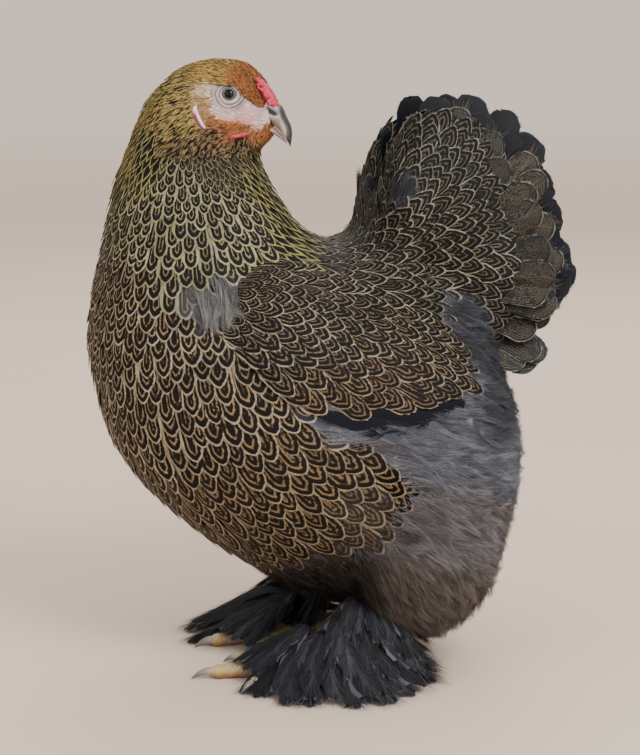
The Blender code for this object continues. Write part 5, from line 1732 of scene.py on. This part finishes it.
def make_tail():
    """The fan's main feathers in two layers on each side."""
    material = plumage_material("tail_sheen", 0.5, 0.24, 0.28)
    rng = np.random.default_rng(47)
    for side, name in SIDES:
        build = Build()
        for layer, share in ((0, 1.0), (1, 0.92)):
            tips = np.array(TAIL_TIPS, float)
            heading = tips[:, 0] + rng.normal(0, 1.8, len(tips)) - 5.0 * layer
            tips[:, 2] *= rng.uniform(0.8, 1.15, len(tips))
            reach = tips[:, 1] * share * rng.uniform(0.985, 1.015, len(tips))
            apart = np.interp(heading, (-40, 0, 40, 60, 90, 134), (56, 66, 46, 28, 9, 6)) + 5.0 * layer
            start = fan_points(heading, np.full(len(tips), 30.0), side * (6 + 0.12 * apart))
            end = fan_points(heading, reach, side * apart)
            middle = (start + end) / 2 + np.array((side * 3.0, 0, 0))
            handle = middle * 2 - (start + end) / 2
            t = np.linspace(0, 1, 6)[None, :, None]
            paths = start[:, None] * (1 - t) ** 2 + handle[:, None] * 2 * t * (1 - t) + end[:, None] * t * t
            angle = np.radians(heading)
            round_fan = np.stack([np.full(len(tips), -0.35 * side), -np.sin(angle), np.cos(angle)], axis=1)
            out = unit(np.cross(end - start, round_fan))
            out = out * np.sign(out[:, :1] * side)
            soft_end = (heading < -8)[:, None]
            look = np.where(soft_end, style_row("quill"), style_row("black_painted_sheen"))
            look[:, :6] *= rng.uniform(0.85, 1.15, (len(tips), 1))
            plume = Plume(paths, np.repeat(out[:, None], 6, axis=1), tips[:, 2], look, (0, 0), 0.12, seed=48 + layer)
            root_uv = np.stack([0.05 + 0.9 * (heading + 50) / 190, np.full(len(tips), 0.25 + 0.5 * layer)], axis=1)
            add_vanes(build, plume, root_uv, patch_sizes(root_uv), 9, 9, 8, 0.7, 0.04)
            add_fringe(build, plume, root_uv, np.full(len(tips), 0.003), 34, 0.25, 0.12)
        for rank, grow in ((0, 0.9), (1, 0.8)):
            heading = np.arange(-14.0 + 6 * rank, 104, 13) + rng.normal(0, 2.5, len(np.arange(-14.0 + 6 * rank, 104, 13)))
            full = np.interp(heading, [tip[0] for tip in TAIL_TIPS[::-1]], [tip[1] for tip in TAIL_TIPS[::-1]])
            reach = full * grow * rng.uniform(0.94, 1.05, len(heading))
            apart = np.interp(heading, (-40, 0, 40, 60, 90, 134), (60, 70, 50, 32, 14, 10)) + 4.0 * rank + 4
            start = fan_points(heading, np.full(len(heading), 34.0), side * (10 + 0.3 * apart))
            end = fan_points(heading, reach, side * apart)
            handle = (start + end) / 2 + np.array((side * 10.0, 0, 0))
            t = np.linspace(0, 1, 6)[None, :, None]
            paths = start[:, None] * (1 - t) ** 2 + handle[:, None] * 2 * t * (1 - t) + end[:, None] * t * t
            angle = np.radians(heading)
            round_fan = np.stack([np.full(len(heading), -0.35 * side), -np.sin(angle), np.cos(angle)], axis=1)
            out = unit(np.cross(end - start, round_fan))
            out = out * np.sign(out[:, :1] * side)
            look = np.repeat(style_row("quill")[None], len(heading), axis=0)
            look[:, :3] *= rng.uniform(0.5, 1.2, (len(heading), 1))
            look[:, 7] *= rng.uniform(0.8, 1.1, len(heading))
            plume = Plume(paths, np.repeat(out[:, None], 6, axis=1), 11.5, look, (0, 0), 0.16,
                          rng.normal(0, 0.12, len(heading)), seed=58 + rank)
            root_uv = np.stack([0.05 + 0.9 * (heading + 50) / 190, np.full(len(heading), 0.1 + 0.05 * rank)], axis=1)
            add_vanes(build, plume, root_uv, patch_sizes(root_uv), 9, 9, 8, 0.6, 0.04)
            add_fringe(build, plume, root_uv, np.full(len(heading), 0.003), 40, 0.25, 0.14)
            hairs = subset(plume, slice(None))
            hairs.look = np.hstack([look[:, :3], look[:, :3] * rng.uniform(0.15, 0.5, (len(heading), 1)), look[:, 6:]])
            add_barbs(build, hairs, root_uv, np.full(len(heading), 0.003), 120, 0.2, 0.95, 0.7, 0.3)
        replaced = ["tail"] if side > 0 else []
        add_piece(f"tail_fan_{name}", build.mesh(f"tail_fan_{name}"), material, replaced)


# Foot feathers in tiers: root height on the leg, tip height, half width, count, and for the left and the
# right foot the first and last heading (0 is outwards, 90 is back) and the lengths at both ends.
BOOT_TIERS = (
    (14, 1.2, 8.0, 13, ((-58, 92, 70, 90), (-82, 70, 86, 66))),
    (22, 5.0, 8.0, 12, ((-50, 84, 70, 84), (-76, 62, 84, 66))),
    (31, 11, 7.6, 11, ((-42, 80, 62, 74), (-68, 56, 74, 60))),
    (41, 20, 7.2, 10, ((-36, 76, 52, 60), (-60, 52, 62, 52))),
    (52, 32, 6.8, 9, ((-34, 76, 42, 46), (-56, 50, 48, 42))),
)
BOOT_SWELL = 1.12

# Feathers over the tops of the toes, to the left and the right foot: headings and lengths.
TOE_COVER = ((-128, -60, 44, 56), (-134, -66, 66, 78))


def make_boots():
    """Feathered shanks, with foot feathers in tiers that fan out over the floor."""
    material = plumage_material("plumage_boot", 0.75, 0.12, 0.16, (34, 36, 42))
    for side, name in SIDES:
        rng = np.random.default_rng(60 + side)
        hock, ankle = mirrored(HOCK, side), mirrored(ANKLE, side)
        build = Build()
        for tier, (root_up, tip_up, half, count, spans) in enumerate(BOOT_TIERS):
            first, last, near, far = spans[0] if side > 0 else spans[1]
            base = ankle + (hock - ankle) * ((root_up - ankle[2]) / (hock[2] - ankle[2]))
            share = (np.arange(count) + 0.5 * (tier % 2)) / (count - 0.5)
            heading = np.radians(first + (last - first) * share + rng.normal(0, 4, count))
            swell = 1 + (BOOT_SWELL - 1) * np.sin(np.pi * share)
            reach = (near + (far - near) * share) * swell * rng.uniform(0.94, 1.04, count)
            way = np.stack([side * np.cos(heading), np.sin(heading), np.zeros(count)], axis=1)
            start, end = base + way * 5, base + way * reach[:, None]
            end[:, 0] = np.clip(end[:, 0], -140.0, 137.0)
            end[:, 2] = np.maximum(tip_up * rng.uniform(0.9, 1.3, count), 1.2)
            middle = (start + end) / 2 + np.array((0, 0, 5 + (root_up - tip_up) * 0.3))
            handle = middle * 2 - (start + end) / 2
            t = np.linspace(0, 1, 6)[None, :, None]
            paths = start[:, None] * (1 - t) ** 2 + handle[:, None] * 2 * t * (1 - t) + end[:, None] * t * t
            out = np.tile(np.array((0, 0, 1.0)), (count, 6, 1)) + way[:, None] * 0.3
            look = np.repeat(style_row("boot")[None], count, axis=0)
            look[:, :6] *= rng.uniform(0.75, 1.2, (count, 1))
            plume = Plume(paths, out, half * rng.uniform(0.85, 1.1, count), look, (0, 0), 0.25, seed=61 + tier)
            root_uv = np.stack([0.06 + 0.88 * share, np.full(count, 0.1 + 0.19 * tier)], axis=1)
            add_vanes(build, plume, root_uv, patch_sizes(root_uv), 7, 6, 6, 0.5, 0.14)
            hairs = subset(plume, slice(None))
            hairs.look = np.hstack([look[:, :3], look[:, :3] * rng.uniform(0.3, 0.75, (count, 1)), look[:, 6:]])
            add_barbs(build, hairs, root_uv, np.full(count, 0.003), 250, 0.24, 1.25, 2.0, 0.34)
        first, last, near, far = TOE_COVER[0] if side > 0 else TOE_COVER[1]
        for rank, (count, grow) in enumerate(((9, 1.0), (8, 0.7), (6, 0.45))):
            share = np.linspace(0, 1, count)
            heading = np.radians(first + (last - first) * share + rng.normal(0, 3, count))
            reach = (near + (far - near) * share) * grow * rng.uniform(0.85, 1.1, count)
            way = np.stack([side * np.cos(heading), np.sin(heading), np.zeros(count)], axis=1)
            top = ankle + np.array((0, 0, 14.0 + 4 * rank))
            end = ankle + way * reach[:, None]
            end[:, 2] = 11.5 + 3 * rank
            middle = (top + end) / 2 + np.array((0, 0, 6.0))
            handle = middle * 2 - (top + end) / 2
            t = np.linspace(0, 1, 6)[None, :, None]
            paths = top * (1 - t) ** 2 + handle[:, None] * 2 * t * (1 - t) + end[:, None] * t * t
            out = np.tile(np.array((0, 0, 1.0)), (count, 6, 1)) + way[:, None] * 0.3
            look = np.repeat(style_row("boot")[None], count, axis=0)
            look[:, :6] *= rng.uniform(0.75, 1.3, (count, 1))
            plume = Plume(paths, out, 6.0, look, (0, 0), 0.3, seed=67 + rank)
            root_uv = np.stack([0.06 + 0.88 * share, np.full(count, 0.03 + 0.01 * rank)], axis=1)
            add_vanes(build, plume, root_uv, np.full(count, 0.01), 7, 6, 6, 0.5, 0.14)
            hairs = subset(plume, slice(None))
            hairs.look = np.hstack([look[:, :3], look[:, :3] * rng.uniform(0.3, 0.75, (count, 1)), look[:, 6:]])
            add_barbs(build, hairs, root_uv, np.full(count, 0.003), 130, 0.24, 1.25, 2.0, 0.36)
        add_shank_fur(build, hock, ankle, side)
        mesh = build.mesh(f"coat_boot_{name}")
        points = points_of(mesh)
        points[:, 2] = np.maximum(points[:, 2], 0.3)
        set_points(mesh, points)
        add_piece(mesh.name, mesh, material, [f"boot_{name}"])


def add_shank_fur(build, hock, ankle, side):
    """Soft blue-grey hairs down and round a shank, from under the thigh to the foot feathers."""
    rng = np.random.default_rng(81)
    count = 5200
    share = rng.uniform(-0.35, 0.9, count)
    turn = rng.uniform(0, 2 * math.pi, count)
    radial = np.stack([np.cos(turn), np.sin(turn), np.zeros(count)], axis=1)
    axis = hock + (ankle - hock) * share[:, None]
    thick = np.interp(share, (-0.35, 0.2, 0.9), (17, 13, 12))[:, None]
    start = axis + radial * thick * 0.6
    end = axis + radial * (thick + rng.uniform(0, 7, (count, 1))) + (ankle - hock) * 0.3
    end[:, 2] -= rng.uniform(2, 9, count)
    look = np.where(rng.random((count, 1)) < 0.45, style_row("down"), style_row("boot"))
    look[:, :6] *= rng.uniform(0.25, 0.6, (count, 1))
    paths = np.stack([start, end], axis=1)
    plume = Plume(paths, np.repeat(radial[:, None], 2, axis=1), 1.0, look, (0, 0), 0.0, seed=82)
    zero = np.zeros((count, 1))
    root_uv = np.stack([0.05 + 0.9 * turn / (2 * math.pi), 0.05 + 0.7 * (share + 0.35)], axis=1)
    add_spikes(build, plume, root_uv, np.full(count, 0.003), ((zero, zero, zero), (zero, zero + 1, zero)), 0.4)


# Feathers of the head: (along, up) of the guides are given from the head's centre. Lengths are short
# and the vanes very narrow, so that the head looks smooth.
HEAD_GUIDES = [
    (HEAD_ALONG + f, HEAD_UP + u, *rest) for f, u, *rest in (
        (26, 18, 216, 0.42, 6.0, 1.0, 0.1, "crown"),
        (14, 26, 198, 0.45, 7.0, 1.0, 0.1, "crown"),
        (-1, 30, 184, 0.5, 8.0, 1.0, 0.1, "gold"),
        (-16, 28, 172, 0.55, 9, 1.0, 0.1, "gold"),
        (-34, 20, 148, 1.0, 14, 1.0, 0.1, "nape"),
        (10, 16, 188, 0.4, 5.5, 1.0, 0.1, "crown"),
        (26, 4, 206, 0.38, 4.2, 1.0, 0.1, "crown"),
        (33, 0, 214, 0.38, 4.2, 1.0, 0.1, "crown"),
        (-4, 17, 178, 0.5, 7.0, 1.0, 0.1, "gold"),
        (-16, 15, 166, 0.5, 8.0, 1.0, 0.1, "gold"),
        (-13, 8, 160, 0.42, 5.5, 1.0, 0.1, "ear"),
        (-13, 0, 158, 0.42, 5.5, 1.0, 0.1, "tan"),
        (-12, -8, 150, 0.42, 5.5, 1.0, 0.1, "tan"),
        (-25, 4, 150, 0.8, 12, 1.0, 0.1, "nape"),
        (-2, -15, 160, 0.4, 5.0, 1.0, 0.1, "cheek"),
        (9, -19, 152, 0.4, 5.0, 1.0, 0.1, "cheek"),
        (22, -23, 140, 0.4, 5.0, 1.0, 0.1, "cheek"),
        (34, -19, 138, 0.4, 6.0, 1.0, 0.1, "cheek"),
        (31, -28, 132, 0.5, 8, 1.0, 0.1, "cheek"),
        (14, -29, 128, 0.55, 9, 1.0, 0.1, "throat"),
        (26, -37, 116, 0.6, 10, 1.0, 0.1, "throat"),
        (-6, -22, 136, 0.6, 9, 1.0, 0.1, "throat"),
        (-19, -9, 136, 0.7, 10, 1.0, 0.1, "nape"),
        (-26, -16, 128, 0.9, 13, 1.0, 0.1, "nape"),
        (-10, -36, 114, 0.9, 12, 1.0, 0.1, "throat"),
        (-22, -34, 118, 0.9, 13, 1.0, 0.1, "throat"),
    )
]


def scatter(mesh, count, keep, seed):
    """Random points over a mesh, even over its area, as (points, outs)."""
    return spread_points(mesh, count, None, keep, seed)


def make_head_coat(envelope, tree):
    """The smallest feathers: crown, brow, cheeks, chin and nape, clear of the bare face."""
    guides = Guides(HEAD_GUIDES)

    def keep(points, outs):
        local = in_head(points)
        flat = local[:, (0, 2)]
        head = (local[:, 0] > -40) & (local[:, 2] > -38) & (local[:, 0] < 37)
        bare = depth_inside(BARE_FACE, flat) > -0.2
        bill = (local[:, 0] > 32) & (local[:, 2] > -20) & (local[:, 2] < 0)
        comb = (np.abs(local[:, 1] - 4.2) < 5.0) & (local[:, 0] > 25) & (local[:, 2] > -3)
        return head & ~bare & ~bill & ~comb

    spots, outs = scatter(envelope, 560000, keep, 31)
    rng = np.random.default_rng(32)
    flow, half, length, soft, look = body_look(guides, spots, rng, 0.2)
    # Among the light tufts stand dark ones, so that the head is streaked along the lie.
    dark = rng.random(len(spots)) < look[:, 9]
    look[dark, :3] = look[dark, 3:6]
    look[:, 6], look[:, 9] = 2.0, 0.0
    paths, normals = trails(tree, spots, outs, length, lambda p: flow_vectors(p, guides.at(p)[0]), 3)
    root_uv = body_unwrap(paths[:, 0])
    low, high = root_uv.min(axis=0), root_uv.max(axis=0)
    root_uv = 0.03 + 0.94 * (root_uv - low) / (high - low)
    build = Build()
    add_tufts(build, Plume(paths, normals, half, look, (-1.7, 0.1), 0.2, seed=33), root_uv)
    add_piece("coat_head", build.mesh("coat_head"), plumage_material("plumage_head", 0.7, 0.12))


TUFT_FACES = ((0, 2, 1), (0, 1, 4, 3), (1, 2, 5, 4), (2, 0, 3, 5), (3, 4, 6), (4, 5, 6), (5, 3, 6))


def add_tufts(build, plume, root_uv, thick=0.3):
    """Adds each feather of a plume as one narrow pointed tuft, flat on the skin."""
    count = len(plume.paths)
    u = np.tile((-1.0, 1.0, 0.0, -0.9, 0.9, 0.0, 0.0), (count, 1))
    v = np.tile((0.0, 0.0, 0.0, 0.6, 0.6, 0.6, 1.0), (count, 1))
    height = np.tile((0.0, 0.0, -thick, 0.05, 0.05, -thick, 0.0), (count, 1))
    build.add(plume.place(u, v, height), TUFT_FACES, u, v, plume, root_uv, np.full(count, 0.003))


# The stage

CAMERA_PLACE = np.array((1.4055, -0.4567, 0.465))
CAMERA_TARGET = np.array((0.0, 0.0, 0.208))
CAMERA_LENS = 98.0
WALL = (236, 218, 202)
WALL_STRENGTH = 1.12


def make_stage():
    """A plain pale floor, soft studio lights and the camera."""
    n = Nodes("pale_floor")
    soft = n.noise(3.0, 3.0, 0.5)
    far = n.node("ShaderNodeVectorMath", operation="LENGTH")
    n.link(n.node("ShaderNodeTexCoord").outputs["Object"], far.inputs[0])
    fade = n.steps(far.outputs["Value"], 1.0, 9.0)
    ground = n.mix(soft, tuple(linear((222, 204, 188))), tuple(linear((214, 196, 180))))
    n.set(Base_Color=n.mix(fade, ground, (0.0, 0.0, 0.0)))
    n.shader.inputs["Emission Color"].default_value = (*linear(WALL), 1)
    n.set(Emission_Strength=n.math("MULTIPLY", fade, WALL_STRENGTH))
    n.shader.inputs["Specular IOR Level"].default_value = 0.0
    n.shader.inputs["Roughness"].default_value = 0.9
    bpy.ops.mesh.primitive_circle_add(vertices=96, radius=60, fill_type="NGON", location=(0, 0, 0))
    floor = bpy.context.object
    floor.name = "floor"
    floor.data.materials.append(n.material)
    world = bpy.data.worlds.new("studio")
    bpy.context.scene.world = world
    world.use_nodes = True
    tree = world.node_tree
    place = tree.nodes.new("ShaderNodeTexCoord")
    height = tree.nodes.new("ShaderNodeSeparateXYZ")
    ramp = tree.nodes.new("ShaderNodeValToRGB")
    tree.links.new(place.outputs["Generated"], height.inputs[0])
    tree.links.new(height.outputs["Z"], ramp.inputs[0])
    tree.links.new(ramp.outputs[0], tree.nodes["Background"].inputs["Color"])
    ramp.color_ramp.elements[0].color = (*linear(WALL), 1)
    ramp.color_ramp.elements[1].color = (*linear((250, 242, 234)), 1)
    ramp.color_ramp.elements[0].position, ramp.color_ramp.elements[1].position = 0.02, 0.5
    tree.nodes["Background"].inputs["Strength"].default_value = WALL_STRENGTH
    lights = (("key", (2.2, 0.5, 2.1), 1.2, 64), ("fill", (1.4, -2.2, 1.1), 1.8, 18), ("rim", (-1.6, 0.8, 2.0), 1.4, 22),
              ("low", (2.2, 0.7, 0.5), 1.8, 20))
    for name, place, size, power in lights:
        data = bpy.data.lights.new(name, "AREA")
        data.shape = "DISK"
        data.size = size
        data.energy = power
        lamp = bpy.data.objects.new(name, data)
        lamp.location = place
        lamp.rotation_euler = (Vector((0, 0, 0.2)) - Vector(place)).to_track_quat("-Z", "Y").to_euler()
        bpy.context.scene.collection.objects.link(lamp)
    data = bpy.data.cameras.new("camera")
    data.lens = CAMERA_LENS
    data.sensor_width = 36
    data.clip_start, data.clip_end = 0.05, 60
    camera = bpy.data.objects.new("camera", data)
    shift = SHIFT / 1000
    camera.location = CAMERA_PLACE + shift
    camera.rotation_euler = Vector(CAMERA_TARGET - CAMERA_PLACE).to_track_quat("-Z", "Y").to_euler()
    bpy.context.scene.collection.objects.link(camera)
    bpy.context.scene.camera = camera


def main():
    sharp = make_envelope()
    points = points_of(sharp)
    set_points(sharp, points + normals_of(sharp) * crown_rise(points)[:, None])
    sharp_tree = tree_of(sharp)
    envelope = softened(sharp.copy())
    tree = tree_of(envelope)
    body_tree = tree_of(mesh_of(*loft(body_rings(48, 3, 3, 3))))
    make_skin()
    make_eyes()
    make_bill()
    make_comb()
    make_wattles(body_tree)
    make_feet()
    make_body_coat(envelope, tree)
    make_wings(body_tree)
    make_tail()
    make_boots()
    make_head_coat(sharp, sharp_tree)
    make_fur(envelope, tree)
    make_stage()


main()
